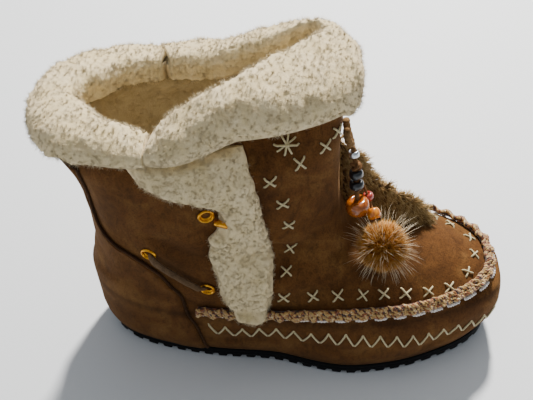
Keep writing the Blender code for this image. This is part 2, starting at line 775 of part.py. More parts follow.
def make_eyelet(name, place, normal):
    barrel = EYELET_HOLE / 2.0 - GAP
    top = BASE + EYELET_WALL
    profile = [
        (barrel, BASE / 2.0), (EYELET_FLANGE / 2.0, BASE / 2.0), (EYELET_FLANGE / 2.0 - 0.0008, top),
        (EYELET_BORE / 2.0, top), (EYELET_BORE / 2.0, -SHELL), (barrel, -SHELL),
    ]
    rows = []
    frame = aim(place, normal)
    for radius, height in profile:
        rows.append([
            frame @ Vector((radius * math.cos(2 * math.pi * k / EYELET_SIDES),
                             radius * math.sin(2 * math.pi * k / EYELET_SIDES), height))
            for k in range(EYELET_SIDES)
        ])
    return add_solid(name, mesh_of_rows(rows + [rows[0]], True, caps=False), BRASS)


# The flat suede lace between the two lower eyelets of each side, and the brass tip at the top one
LACE_WIDTH = 0.0058
LACE_THICK = 0.0014
LACE_STAND = 0.0032
LACE_NECK = 0.0030


def make_lace_bar(side, inner_side):
    (start, start_normal), (end, end_normal) = (eyelet_place(n, inner_side) for n in ("back", "front"))
    normal = (start_normal + end_normal).normalized()
    along = (end - start).normalized()
    across = normal.cross(along).normalized()
    stand = EYELET_WALL + LACE_STAND
    stations = [
        # place, lift off the shell, width
        (start, -SHELL * 0.9, LACE_NECK),
        (start, BASE + EYELET_WALL + 0.0006, LACE_NECK),
        (mix(start, end, 0.10), stand, LACE_WIDTH),
        (mix(start, end, 0.35), stand * 1.25, LACE_WIDTH),
        (mix(start, end, 0.65), stand * 1.25, LACE_WIDTH),
        (mix(start, end, 0.90), stand, LACE_WIDTH),
        (end, BASE + EYELET_WALL + 0.0006, LACE_NECK),
        (end, -SHELL * 0.9, LACE_NECK),
    ]
    centres = [place + normal * lift for place, lift, _ in stations]
    rows = []
    for k, (_, _, width) in enumerate(stations):
        before, after = centres[max(k - 1, 0)], centres[min(k + 1, len(centres) - 1)]
        face = across.cross((after - before).normalized()).normalized()
        half = across * width / 2.0
        rise = face * LACE_THICK / 2.0
        rows.append([centres[k] - half - rise, centres[k] + half - rise, centres[k] + half + rise, centres[k] - half + rise])
    return add_solid("lace_bar_" + side, mesh_of_rows(rows, True), SUEDE_DARK)


# The tassel at the front: loop, cords, beads and a fur ball
LOOP_TOP = 0.895
LOOP_THICK = 0.0044
LOOP_ROUTE = [
    # off the middle line, below the loop's top, off the shell
    (0.0045, 0.0000, 0.0030),
    (0.0045, 0.0070, 0.0045),
    (0.0000, 0.0140, 0.0070),
    (-0.0045, 0.0070, 0.0045),
    (-0.0045, 0.0000, 0.0030),
]
CORD = 0.0030
CORD_POINTS = 18
BEAD_CLEAR = 0.0007
BEAD_SIDES = 12
POMPOM = 0.034
POMPOM_AHEAD = 0.0225
POMPOM_SEAT = 0.0874
LOCKS = 34
GOLDEN_ANGLE = math.pi * (3.0 - math.sqrt(5.0))
TASSEL_ROUTE = [
    # from the loop down to the ball, in metres from the front of the shaft, the middle line and the floor
    (0.0062, 0.0000, 0.1622),
    (0.0072, -0.0010, 0.1570),
    (0.0085, -0.0030, 0.1520),
    (0.0093, -0.0043, 0.1450),
    (0.0102, -0.0055, 0.1367),
    (0.0112, -0.0065, 0.1280),
    (0.0122, -0.0075, 0.1197),
    (0.0135, -0.0087, 0.1120),
    (0.0174, -0.0121, 0.1077),
]


def front_of_shaft():
    return SHAFT_DEPTH - HEEL_CENTRE


def tassel_place(height):
    """The place and the direction of the tassel's cord at this height over the floor."""
    route = smooth_route([(front_of_shaft() + x, y, z) for x, y, z in TASSEL_ROUTE], 81)
    k = min(range(2, len(route) - 2), key=lambda n: abs(route[n].z - height))
    return route[k], (route[k + 2] - route[k - 2]).normalized()


BEADS = [
    # name, height over the floor, width, length, colour
    ("bead_silver", 0.1570, 0.0065, 0.0046, SILVER),
    ("bead_black_upper", 0.1445, 0.0085, 0.0060, BLACK_BEAD),
    ("bead_black_lower", 0.1365, 0.0090, 0.0062, BLACK_BEAD),
    ("bead_amber_large", 0.1197, 0.0150, 0.0120, AMBER),
]


def make_bead(name, place, direction, width, length, material):
    frame = aim(place, direction)
    bore = CORD / 2.0 + BEAD_CLEAR
    rows = []
    profile = [(bore, -0.5), (0.36, -0.5), (0.5, -0.18), (0.5, 0.18), (0.36, 0.5), (bore, 0.5)]
    for radius, height in profile:
        size = radius if radius == bore else radius * width
        ring = []
        for k in range(BEAD_SIDES):
            angle = 2 * math.pi * k / BEAD_SIDES
            ring.append(frame @ Vector((size * math.cos(angle), size * math.sin(angle), height * length)))
        rows.append(ring)
    return add_solid(name, mesh_of_rows(rows + [rows[0]], True, caps=False), material)


def make_tassel():
    front = front_of_shaft()
    loop = []
    for y, drop, lift in LOOP_ROUTE:
        z = LOOP_TOP * COLLAR_HEIGHT - drop
        loop.append((shell_point(math.pi, row_at(math.pi, z)).x + lift, y, z))
    add_tube("hanger_loop", smooth_route(loop, 13), LOOP_THICK / 2.0, SUEDE_DARK, 1)
    route = smooth_route([(front + x, y, z) for x, y, z in TASSEL_ROUTE], CORD_POINTS)
    add_tube("tassel_cord", route, CORD / 2.0, SUEDE_DARK, 1)
    for name, height, width, length, material in BEADS:
        place, direction = tassel_place(height)
        make_bead(name, place, direction, width, length, material)
    end = Vector(route[-1])
    turn, row = find_on_shell(front + POMPOM_AHEAD, POMPOM_SEAT)
    away = shell_normal(turn, row)
    centre = on_shell(turn, row, POMPOM * 0.5)
    direction = (centre - end).normalized()
    ball = bmesh.new()
    bmesh.ops.create_icosphere(ball, subdivisions=2, radius=POMPOM / 2.0, matrix=Matrix.Translation(centre))
    pompom = add_solid("pompom", ball, FOX_FUR)
    locks = bmesh.new()
    for k in range(LOCKS):
        height = 1.0 - 2.0 * (k + 0.5) / LOCKS
        ring = math.sqrt(1.0 - height * height)
        angle = GOLDEN_ANGLE * k
        way = Vector((ring * math.cos(angle), ring * math.sin(angle), height))
        if way.dot(direction) < -0.70 or way.dot(away) < 0.05:
            continue
        bmesh.ops.create_cone(
            locks, cap_ends=True, segments=5, radius1=0.17 * POMPOM, radius2=0.02 * POMPOM, depth=0.34 * POMPOM,
            matrix=aim(centre + way * POMPOM * 0.56, way),
        )
    cut(pompom, add_cutter("fur_locks", locks), "UNION")
    return pompom


def main():
    clear_scene()
    make_outsole()
    make_upper()
    make_insole()
    make_heel_counter()
    make_counter_piping()
    make_vamp_braid()
    for side, inner_side in SIDES:
        make_side_band(side, inner_side)
        make_lace_bar(side, inner_side)
        for name, _, _ in EYELETS:
            place, normal = eyelet_place(name, inner_side)
            make_eyelet("eyelet_" + side + "_" + name, place, normal)
    make_cuffs()
    make_instep_fur()
    make_tassel()


main()
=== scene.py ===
# %% [markdown]
# A short mukluk boot for the right foot. A tan suede shell stands on a low black rubber sole, wool cuffs
# fold out over its collar, a crocheted braid covers the vamp seam, and a tassel with beads and a fur
# ball hangs at the front. The solids of the boot are loaded as a fixed frame. This file gives each of
# them the surface that the eye meets: nap, wool, yarn, fur, brass and resin.

# %% Load the frame
import functools
import json
import math
import random

import bmesh
import bpy
from mathutils import Matrix, Vector
from mathutils import noise

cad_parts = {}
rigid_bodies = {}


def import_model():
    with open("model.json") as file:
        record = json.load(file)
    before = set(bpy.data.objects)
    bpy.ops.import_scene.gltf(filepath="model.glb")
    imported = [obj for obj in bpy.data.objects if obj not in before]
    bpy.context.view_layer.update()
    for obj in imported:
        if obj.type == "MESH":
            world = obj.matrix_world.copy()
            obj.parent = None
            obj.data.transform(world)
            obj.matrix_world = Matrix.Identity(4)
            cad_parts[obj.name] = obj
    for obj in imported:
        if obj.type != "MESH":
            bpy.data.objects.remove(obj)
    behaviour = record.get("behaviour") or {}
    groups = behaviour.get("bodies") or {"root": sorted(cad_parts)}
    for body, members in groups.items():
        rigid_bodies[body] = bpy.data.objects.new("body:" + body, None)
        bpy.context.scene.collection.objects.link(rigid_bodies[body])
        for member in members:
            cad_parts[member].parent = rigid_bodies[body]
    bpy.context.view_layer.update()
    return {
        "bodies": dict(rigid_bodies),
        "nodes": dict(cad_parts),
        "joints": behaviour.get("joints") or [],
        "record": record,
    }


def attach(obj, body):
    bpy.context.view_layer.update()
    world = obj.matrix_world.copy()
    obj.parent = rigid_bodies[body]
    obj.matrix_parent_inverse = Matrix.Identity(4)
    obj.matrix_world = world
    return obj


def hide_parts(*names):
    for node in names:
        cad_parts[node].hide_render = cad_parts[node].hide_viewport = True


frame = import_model()
BODY = "root"
MM = 0.001
print("nodes in the frame:", len(frame["nodes"]))

# %% [markdown]
# The camera comes first, because each later choice is judged in its view. It looks down on the outer
# side of the boot from about half a metre. The place and the focal length come from fitting points of
# the sole edge, the braid, the heel and the cuffs. The key lamp is small and stands high behind the
# boot, so the shadow falls towards the camera and the near side lies in open shade. The two other lamps
# are wide and weak.

# %% Camera, floor and light
IMAGE_WIDTH = 533
FOCAL_PIXELS = 822.0
CAMERA_AT = Vector((0.0854, -0.3573, 0.4868))
CAMERA_AZIMUTH = math.radians(1.37)
CAMERA_ELEVATION = math.radians(46.1)
CAMERA_ROLL = math.radians(0.46)
SENSOR_WIDTH = 36.0
NEAREST = 0.01
LAMPS = [
    # name, place, target, width in metres, power in watts, colour
    ("key", (0.34, 1.05, 1.25), (0.08, 0.0, 0.08), 0.16, 66.0, (1.0, 0.97, 0.93)),
    ("fill", (-0.5, -1.3, 0.9), (0.08, 0.0, 0.08), 1.4, 1.2, (0.90, 0.95, 1.0)),
    ("top", (0.1, 0.1, 1.5), (0.08, 0.0, 0.1), 1.2, 3.0, (1.0, 0.99, 0.97)),
]


def add_object(name, data):
    made = bpy.data.objects.new(name, data)
    bpy.context.scene.collection.objects.link(made)
    return made


def add_camera():
    data = bpy.data.cameras.new("camera")
    data.sensor_width = SENSOR_WIDTH
    data.lens = FOCAL_PIXELS / IMAGE_WIDTH * SENSOR_WIDTH
    data.clip_start = NEAREST
    camera = add_object("camera", data)
    turn = Matrix.Rotation(CAMERA_AZIMUTH, 4, "Z") @ Matrix.Rotation(math.pi / 2 - CAMERA_ELEVATION, 4, "X")
    camera.matrix_world = Matrix.Translation(CAMERA_AT) @ turn @ Matrix.Rotation(CAMERA_ROLL, 4, "Z")
    bpy.context.scene.camera = camera


def add_lamp(name, place, target, size, power, colour):
    data = bpy.data.lights.new(name, "AREA")
    data.shape = "DISK"
    data.size = size
    data.energy = power
    data.color = colour
    lamp = add_object(name, data)
    lamp.location = place
    lamp.rotation_euler = (Vector(target) - Vector(place)).to_track_quat("-Z", "Y").to_euler()


add_camera()
for lamp_row in LAMPS:
    add_lamp(*lamp_row)

# %% [markdown]
# Colours are written as the sRGB hex values that a colour picker shows, and one function turns them to
# the linear values that the shaders want. One small function adds a node, sets it and links it, so
# that each material below reads as a list of what it is made of.


# %% Colour and node helpers
def rgb(code):
    """The linear colour, with alpha, of an sRGB hex value."""
    channels = [int(code[k:k + 2], 16) / 255.0 for k in (0, 2, 4)]
    return (*[c / 12.92 if c <= 0.04045 else ((c + 0.055) / 1.055) ** 2.4 for c in channels], 1.0)


def node(tree, kind, settings=None, values=None, links=None):
    """Adds a node. settings are its properties, values its sockets and links its inputs' sources."""
    made = tree.nodes.new(kind)
    for key, value in (settings or {}).items():
        setattr(made, key, value)
    for key, value in (values or {}).items():
        made.inputs[key].default_value = value
    for key, source in (links or {}).items():
        tree.links.new(source, made.inputs[key])
    return made


def new_material(name, values):
    """A material whose shader has these values in its sockets. Text stands for a colour."""
    material = bpy.data.materials.new(name)
    material.use_nodes = True
    tree = material.node_tree
    shader = tree.nodes["Principled BSDF"]
    for key, value in values.items():
        shader.inputs[key].default_value = rgb(value) if isinstance(value, str) else value
    return material, tree, shader


def ramp(tree, source, stops):
    made = node(tree, "ShaderNodeValToRGB", links={"Fac": source})
    elements = made.color_ramp.elements
    while len(elements) < len(stops):
        elements.new(0.5)
    for element, (place, colour) in zip(elements, stops):
        element.position = place
        element.color = rgb(colour)
    return made.outputs["Color"]


def mixed(tree, share, a, b, kind="MIX"):
    """A colour mix. Each of share, a and b is a value or a socket."""
    made = node(tree, "ShaderNodeMix", {"data_type": "RGBA", "blend_type": kind})
    for socket, source in ((made.inputs[0], share), (made.inputs[6], a), (made.inputs[7], b)):
        if isinstance(source, (int, float, tuple)):
            socket.default_value = source
        else:
            tree.links.new(source, socket)
    return made.outputs[2]


def bumped(tree, shader, height, distance, strength=1.0, after=None):
    made = node(tree, "ShaderNodeBump", values={"Strength": strength, "Distance": distance},
                links={"Height": height})
    if after is not None:
        tree.links.new(after, made.inputs["Normal"])
    tree.links.new(made.outputs["Normal"], shader.inputs["Normal"])


def attribute(tree, name, output="Fac"):
    """What a layer of the mesh says at each point."""
    return node(tree, "ShaderNodeAttribute", {"attribute_name": name}).outputs[output]


def vector_maths(tree, operation, links, values=None):
    return node(tree, "ShaderNodeVectorMath", {"operation": operation}, values, links).outputs[0]


def drifting(tree, base, patches, amount, shift):
    """The value base, moved by the noise times amount, and by shift."""
    sway = node(tree, "ShaderNodeMath", {"operation": "MULTIPLY_ADD"}, {1: amount, 2: shift}, {0: patches})
    return node(tree, "ShaderNodeMath", {"operation": "ADD"}, links={0: base, 1: sway.outputs[0]}).outputs[0]


def object_noise(tree, size, detail=3.0, roughness=0.5, distortion=0.0, stretch=(1.0, 1.0, 1.0)):
    """Noise on object coordinates whose grain is about size, in metres."""
    place = node(tree, "ShaderNodeTexCoord").outputs["Object"]
    mapping = node(tree, "ShaderNodeMapping", values={"Scale": stretch}, links={"Vector": place})
    grain = {"Scale": 1.0 / size, "Detail": detail, "Roughness": roughness, "Distortion": distortion}
    made = node(tree, "ShaderNodeTexNoise", values=grain, links={"Vector": mapping.outputs["Vector"]})
    return made.outputs["Fac"]


# %% [markdown]
# The floor is pale matt board and isn't part of the boot. A dim sky fills the shade
# with cool light.


# %% Floor and sky
FLOOR_SIZE = 6.0
SKY_COLOUR = (0.86, 0.92, 1.0, 1.0)
SKY_STRENGTH = 0.36


def make_floor():
    bpy.ops.mesh.primitive_plane_add(size=FLOOR_SIZE, location=(0.0, 0.0, 0.0))
    floor = bpy.context.object
    floor.name = "floor"
    board = new_material("matt_board", {"Base Color": "E4E7E9", "Roughness": 0.65})[0]
    floor.data.materials.append(board)


def make_sky():
    world = bpy.data.worlds.new("soft_sky")
    bpy.context.scene.world = world
    world.use_nodes = True
    back = world.node_tree.nodes["Background"]
    back.inputs["Color"].default_value = SKY_COLOUR
    back.inputs["Strength"].default_value = SKY_STRENGTH


make_floor()
make_sky()

# %% [markdown]
# The shell's face is one function. It stacks closed rings from the sole's edge up to the collar, each
# with its own ends, breadths and heights, and reads any place between them by a smooth curve. The
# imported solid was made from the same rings. Here they are sampled finely, and everything that lies on
# the boot asks this function for its place, so nothing floats and nothing sinks in.

# %% The last: sizes and rings
LENGTH = 0.276
BALL_WIDTH = 0.104
SHAFT_DEPTH = 0.157
SHAFT_WIDTH = 0.095
HEEL_CENTRE = 0.036
SOLE_THICK = 0.0085
WALL_HEIGHT = 0.053
INSTEP_HEIGHT = 0.094
COLLAR_HEIGHT = 0.200
TOE_SPRING = 0.006
HEEL_ROLL = 0.0025
ARCH_RISE = 0.0015
TOE_SWING = 0.006
SHELL = 0.0026
GAP = 0.0003
RINGS = [
    # name, back, reach, heel, outer, inner, level at back, level at middle, level at front, swing
    ("sole_edge", 0.022, 0.925, 0.885, 1.030, 0.960, 0.00, 0.00, 0.00, 1.00),
    ("wall_low", 0.008, 0.970, 0.950, 1.080, 1.020, 0.26, 0.26, 0.33, 1.00),
    ("wall_middle", 0.002, 0.985, 0.985, 1.075, 1.045, 0.62, 0.62, 0.66, 1.00),
    ("vamp_seam", 0.000, 0.970, 1.005, 1.000, 1.020, 1.00, 1.00, 0.93, 1.00),
    ("plug_rim", 0.000, 0.925, 1.005, 0.930, 0.950, 1.17, 1.22, 1.03, 1.00),
    ("plug_outer", 0.000, 0.845, 1.000, 0.820, 0.850, 1.33, 1.46, 1.16, 0.95),
    ("plug_middle", 0.007, 0.710, 1.000, 0.730, 0.760, 1.52, 1.72, 1.36, 0.85),
    ("plug_inner", 0.011, 0.530, 0.995, 0.670, 0.690, 1.72, 1.93, 1.57, 0.70),
    ("plug_top", 0.017, 0.330, 0.990, 0.640, 0.660, 1.91, 2.08, 1.79, 0.50),
    ("throat", 0.022, 0.145, 0.990, 0.660, 0.670, 2.05, 2.16, 2.00, 0.30),
    ("ankle", 0.021, 0.045, 0.990, 0.720, 0.720, 2.14, 2.22, 2.13, 0.15),
    ("shaft_low", 0.018, 0.008, 0.990, 0.760, 0.750, 2.27, 2.34, 2.30, 0.05),
    ("shaft_middle", 0.013, -0.008, 1.000, 0.780, 0.770, 2.43, 2.51, 2.50, 0.00),
    ("shaft_high", -0.006, -0.018, 1.005, 0.780, 0.780, 2.61, 2.71, 2.73, 0.00),
    ("under_cuff", -0.034, -0.012, 0.960, 0.660, 0.780, 2.75, 2.83, 2.91, 0.00),
    ("collar", -0.050, 0.000, 0.880, 0.480, 0.740, 2.88, 3.00, 3.12, 0.00),
]
OUTLINE = [
    # along, heel, outer, inner
    (0.00, 0.85, 1.00, 1.00),
    (0.10, 0.98, 1.00, 0.96),
    (0.35, 1.00, 1.00, 0.92),
    (0.60, 1.00, 0.99, 0.96),
    (0.74, 1.00, 1.00, 1.03),
    (0.86, 1.00, 0.96, 1.08),
    (0.94, 1.00, 0.93, 1.02),
    (1.00, 1.00, 0.90, 0.90),
]
HEEL_TO_BALL = (0.42, 0.66)
MIDDLE_OF_RING = 0.62
HEEL_ROUND = 0.64
TOE_ROUND = 0.62
PLUG_POINT = 0.30
PLUG_ROWS = (0.27, 0.40, 0.53, 0.66)
HALVINGS = 24
CACHED = 20000
RING_AT = {row[0]: k / (len(RINGS) - 1) for k, row in enumerate(RINGS)}
RING_SHARES = [k / (len(RINGS) - 1) for k in range(len(RINGS))]
RING_COLUMNS = list(zip(*[row[1:] for row in RINGS]))
OUTLINE_COLUMNS = list(zip(*OUTLINE))


# %% The last: the surface function
def smooth(share):
    share = min(max(share, 0.0), 1.0)
    return share * share * (3.0 - 2.0 * share)


def mix(a, b, share):
    return a + (b - a) * share


@functools.lru_cache(maxsize=None)
def slopes_of(xs, ys):
    step = [(ys[k + 1] - ys[k]) / (xs[k + 1] - xs[k]) for k in range(len(xs) - 1)]
    slopes = [step[0]]
    for a, b in zip(step, step[1:]):
        slopes.append(0.0 if a * b <= 0 else 2.0 * a * b / (a + b))
    return slopes + [step[-1]]


def curve_at(xs, ys, x):
    """A smooth curve through a short table, level where the table turns."""
    xs, ys = tuple(xs), tuple(ys)
    if x <= xs[0]:
        return ys[0]
    if x >= xs[-1]:
        return ys[-1]
    slopes = slopes_of(xs, ys)
    i = max(k for k in range(len(xs) - 1) if xs[k] <= x)
    width = xs[i + 1] - xs[i]
    t = (x - xs[i]) / width
    h00, h10 = (1 + 2 * t) * (1 - t) ** 2, t * (1 - t) ** 2
    h01, h11 = t * t * (3 - 2 * t), t * t * (t - 1)
    return h00 * ys[i] + h10 * width * slopes[i] + h01 * ys[i + 1] + h11 * width * slopes[i + 1]


def sole_lift(x):
    """How far the tread rises over the floor: rolled at the heel, low at the arch, sprung at the toe."""
    along = (x + HEEL_CENTRE) / LENGTH
    toe = TOE_SPRING * max(0.0, (along - 0.74) / 0.24) ** 2
    heel = HEEL_ROLL * max(0.0, (0.07 - along) / 0.06) ** 2
    arch = ARCH_RISE * math.sin(math.pi * min(max((along - 0.27) / 0.26, 0.0), 1.0)) ** 2
    return toe + heel + arch


def height_of(level, x):
    heights = [sole_lift(x) + SOLE_THICK + GAP, WALL_HEIGHT, INSTEP_HEIGHT, COLLAR_HEIGHT]
    step = min(max(int(level), 0), 2)
    return mix(heights[step], heights[step + 1], level - step)


@functools.lru_cache(maxsize=CACHED)
def ring_values(row):
    return [curve_at(RING_SHARES, column, row) for column in RING_COLUMNS]


@functools.lru_cache(maxsize=CACHED)
def outline_at(along):
    return [curve_at(OUTLINE_COLUMNS[0], column, along) for column in OUTLINE_COLUMNS[1:]]


def toe_round(row):
    """How blunt a ring is at the toe. The plug's rings are the more pointed, which makes it a dome."""
    rise, full, fall, end = PLUG_ROWS
    return TOE_ROUND + PLUG_POINT * smooth((row - rise) / (full - rise)) * smooth((end - row) / (end - fall))


def shell_point(turn, row):
    """A point of the shell's outer face. turn is 0 at the heel and pi at the toe, the outer side of the
    foot first. row is 0 at the sole's edge and 1 at the collar."""
    back, reach, heel, outer, inner, low, middle, high, swing = ring_values(min(max(row, 0.0), 1.0))
    start = back * LENGTH - HEEL_CENTRE
    end = mix(SHAFT_DEPTH, LENGTH, reach) - HEEL_CENTRE
    along = (1.0 - math.cos(turn)) / 2.0
    x = mix(start, end, along)
    heel_share, outer_share, inner_share = outline_at(round(along, 6))
    inner_side = math.sin(turn) < 0.0
    toward_ball = smooth((along - HEEL_TO_BALL[0]) / (HEEL_TO_BALL[1] - HEEL_TO_BALL[0]))
    at_heel = heel * SHAFT_WIDTH / 2.0 * heel_share
    at_ball = BALL_WIDTH / 2.0 * (inner * inner_share if inner_side else outer * outer_share)
    power = mix(HEEL_ROUND, toe_round(row), smooth(along))
    breadth = mix(at_heel, at_ball, toward_ball) * abs(math.sin(turn)) ** power
    y = (breadth if inner_side else -breadth) + swing * TOE_SWING * smooth((along - 0.5) / 0.5)
    level = curve_at((0.0, MIDDLE_OF_RING, 1.0), (low, middle, high), along)
    return Vector((x, y, height_of(level, x)))


def shell_normal(turn, row):
    """Outward direction of the shell's face, measured across a few millimetres of it."""
    step_turn, step_row = 0.05, 0.012
    across = shell_point(turn + step_turn, row) - shell_point(turn - step_turn, row)
    upward = shell_point(turn, min(row + step_row, 1.0)) - shell_point(turn, max(row - step_row, 0.0))
    return across.cross(upward).normalized()


def way_along(turn, row):
    """The direction in which the ring runs there."""
    return (shell_point(turn + 0.02, row) - shell_point(turn - 0.02, row)).normalized()


def on_shell(turn, row, lift=0.0):
    return shell_point(turn, row) + shell_normal(turn, row) * lift


def turn_at(x, row, inner_side=False):
    back, reach = ring_values(row)[:2]
    start = back * LENGTH - HEEL_CENTRE
    end = mix(SHAFT_DEPTH, LENGTH, reach) - HEEL_CENTRE
    turn = math.acos(1.0 - 2.0 * min(max((x - start) / (end - start), 0.0), 1.0))
    return 2.0 * math.pi - turn if inner_side else turn


def row_where(turn_of, z):
    """The row where the shell reaches this height. turn_of gives the turn to look at in each row."""
    low, high = 0.0, 1.0
    for _ in range(HALVINGS):
        row = (low + high) / 2.0
        if shell_point(turn_of(row), row).z < z:
            low = row
        else:
            high = row
    return row


def find_on_shell(x, z, inner_side=False):
    """The turn and row where the shell has this x and height, on the outer or the inner side."""
    row = row_where(lambda row: turn_at(x, row, inner_side), z)
    return turn_at(x, row, inner_side), row


def row_at(turn, z):
    """The row where the shell reaches this height, at one turn."""
    return row_where(lambda row: turn, z)


print("toe tip at", round(shell_point(math.pi, RING_AT["vamp_seam"]).x, 4))

# %% [markdown]
# Small makers of meshes: a grid of points, open or closed, a tube along a route, and a pad that lies on
# the shell with a rounded rim. Each finished piece rides on the one body.


# %% Mesh helpers
def mesh_object(name, bm, material, recalc=False):
    if recalc:
        bmesh.ops.remove_doubles(bm, verts=bm.verts, dist=1e-6)
        bmesh.ops.recalc_face_normals(bm, faces=bm.faces)
    mesh = bpy.data.meshes.new(name)
    bm.to_mesh(mesh)
    bm.free()
    mesh.shade_smooth()
    mesh.materials.append(material)
    made = add_object(name, mesh)
    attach(made, BODY)
    return made


def grid_faces(bm, rows, closed):
    """Faces between rows of points. closed joins the last point of each row to its first."""
    grid = [[bm.verts.new(p) for p in row] for row in rows]
    count = len(grid[0])
    for a, b in zip(grid, grid[1:]):
        for k in range(count if closed else count - 1):
            j = (k + 1) % count
            bm.faces.new((a[k], a[j], b[j], b[k]))
    return grid


def smooth_route(points, count):
    """count places on a smooth curve through the points, evenly spaced."""
    shares = [0.0]
    for a, b in zip(points, points[1:]):
        shares.append(shares[-1] + (Vector(b) - Vector(a)).length)
    shares = tuple(s / shares[-1] for s in shares)
    columns = [tuple(c) for c in zip(*[tuple(p) for p in points])]
    return [Vector([curve_at(shares, c, k / (count - 1)) for c in columns]) for k in range(count)]


def tube_rows(route, section, up=None):
    """Rows of points: a section of (side, rise) pairs carried along a route, with no twist."""
    rows = []
    side = None
    for k, place in enumerate(route):
        ahead = (route[min(k + 1, len(route) - 1)] - route[max(k - 1, 0)]).normalized()
        if up is not None:
            rise = up[k]
            side = rise.cross(ahead).normalized()
        elif side is None:
            side = ahead.orthogonal().normalized()
        side = (side - ahead * side.dot(ahead)).normalized()
        rise = ahead.cross(side)
        shape = section(k) if callable(section) else section
        rows.append([place + side * a + rise * b for a, b in shape])
    return rows


def round_section(radius, sides):
    return [(radius * math.cos(2 * math.pi * k / sides), radius * math.sin(2 * math.pi * k / sides))
            for k in range(sides)]


def close_ends(bm, grid):
    """Caps the first and the last row of a closed grid, and turns every face outward."""
    bm.faces.new(list(reversed(grid[0])))
    bm.faces.new(grid[-1])
    bmesh.ops.recalc_face_normals(bm, faces=bm.faces)


def solid_tube(name, route, section, material, up=None):
    """A piece that is a section carried along a route, with closed ends."""
    bm = bmesh.new()
    close_ends(bm, grid_faces(bm, tube_rows(route, section, up), True))
    return mesh_object(name, bm, material)


# %% [markdown]
# Suede is split leather, sanded until its fibres stand up as a nap. It has no gloss, a soft light along
# its edges, and clouds of lighter and darker tone where the nap was brushed one way or the other. The
# material mixes three noises: fine nap of about a millimetre, brush marks of about 5 mm, and
# clouds of 30 mm. An attribute painted on the mesh darkens it with soil near the sole, with painted
# shade in the creases, and along the seams.


# %% Suede
def suede(name, dark, middle, light, nap=0.0009, depth=0.00022):
    material, tree, shader = new_material(name, {
        "Roughness": 0.95, "Specular IOR Level": 0.15, "Sheen Weight": 0.22, "Sheen Roughness": 0.45,
        "Sheen Tint": "C89A66",
    })
    clouds = object_noise(tree, 0.030, 4.0, 0.6, 0.8)
    brush = object_noise(tree, 0.0055, 4.0, 0.65, 1.2, (1.0, 1.0, 0.45))
    fine = object_noise(tree, nap, 3.0, 0.7)
    base = ramp(tree, clouds, [(0.30, dark), (0.50, middle), (0.72, light)])
    brushed = ramp(tree, brush, [(0.28, "8A8A8A"), (0.52, "FFFFFF"), (0.75, "FFFFFF")])
    grain = ramp(tree, fine, [(0.30, "8E8A86"), (0.55, "FFFFFF")])
    colour = mixed(tree, 0.55, base, brushed, "MULTIPLY")
    colour = mixed(tree, 0.75, colour, grain, "MULTIPLY")
    # Darkened by the painted attribute: real soil at the foot of the wall, painted shade in the creases of
    # the folds, and a darker band along the vamp seam.
    soiled_and_shaded = mixed(tree, attribute(tree, "soil_and_shade"), rgb("FFFFFF"), rgb("6E5E50"))
    colour = mixed(tree, 1.0, colour, soiled_and_shaded, "MULTIPLY")
    tree.links.new(colour, shader.inputs["Base Color"])
    height = node(tree, "ShaderNodeMath", {"operation": "ADD"}, links={0: fine, 1: brush}).outputs[0]
    bumped(tree, shader, height, depth, 0.8)
    return material


TAN_SUEDE = suede("tan_suede_brushed", "4A2C12", "623E1C", "7A552C")
DARK_SUEDE = suede("dark_suede_piping", "2A180C", "3B2413", "4C3120")
LACE_SUEDE = suede("lace_suede_flat", "4E3A26", "66503A", "7C6650")

# %% [markdown]
# The upper is the boot's main shell. It is sampled far finer than the imported solid, and its real wall
# comes from Solidify. Suede that has been worn doesn't stay smooth: it folds where the foot bends and
# sinks over the instep. Each main fold is a named line on the shell, and the face moves in along it as
# a soft trough, or out as a ridge. A point keeps its place elsewhere. An attribute is painted in the same
# pass: it darkens the foot of the wall with soil, paints shade into the creases, and darkens the edge
# along the braid.

# %% Folds of the upper
FOLDS = [
    # two ends as (x, height) on the shell in metres, depth (out is positive), half width, inner side
    ((0.022, 0.150), (0.032, 0.172), -0.0012, 0.0045, False),
    ((0.010, 0.128), (0.040, 0.112), -0.0014, 0.0055, False),
    ((0.008, 0.118), (0.034, 0.100), 0.0010, 0.0050, False),
    ((0.016, 0.092), (0.044, 0.080), -0.0012, 0.0050, False),
    ((0.020, 0.080), (0.052, 0.066), 0.0009, 0.0050, False),
    ((0.068, 0.068), (0.098, 0.064), -0.0010, 0.0050, False),
    ((0.088, 0.100), (0.112, 0.118), -0.0014, 0.0050, False),
    ((0.092, 0.090), (0.118, 0.100), 0.0010, 0.0045, False),
    ((0.090, 0.076), (0.128, 0.078), -0.0013, 0.0055, False),
    ((0.110, 0.150), (0.118, 0.128), -0.0008, 0.0040, False),
    ((0.040, 0.024), (0.078, 0.030), -0.0009, 0.0050, False),
    ((0.098, 0.036), (0.140, 0.028), -0.0010, 0.0055, False),
    ((0.150, 0.024), (0.184, 0.034), 0.0009, 0.0055, False),
    ((0.186, 0.024), (0.212, 0.034), -0.0008, 0.0050, False),
    ((0.022, 0.150), (0.034, 0.128), -0.0012, 0.0050, True),
    ((0.010, 0.128), (0.046, 0.112), -0.0015, 0.0055, True),
    ((0.010, 0.114), (0.044, 0.098), 0.0010, 0.0050, True),
    ((0.016, 0.092), (0.058, 0.080), -0.0013, 0.0055, True),
    ((0.088, 0.104), (0.112, 0.122), -0.0014, 0.0050, True),
    ((0.094, 0.090), (0.124, 0.098), 0.0010, 0.0045, True),
    ((0.060, 0.030), (0.098, 0.036), -0.0010, 0.0055, True),
    ((0.120, 0.028), (0.160, 0.034), 0.0009, 0.0055, True),
]
FOLD_LINES = []
for start, end, depth, half_width, inner_side in FOLDS:
    a = shell_point(*find_on_shell(*start, inner_side))
    b = shell_point(*find_on_shell(*end, inner_side))
    FOLD_LINES.append((a, b, depth, half_width))


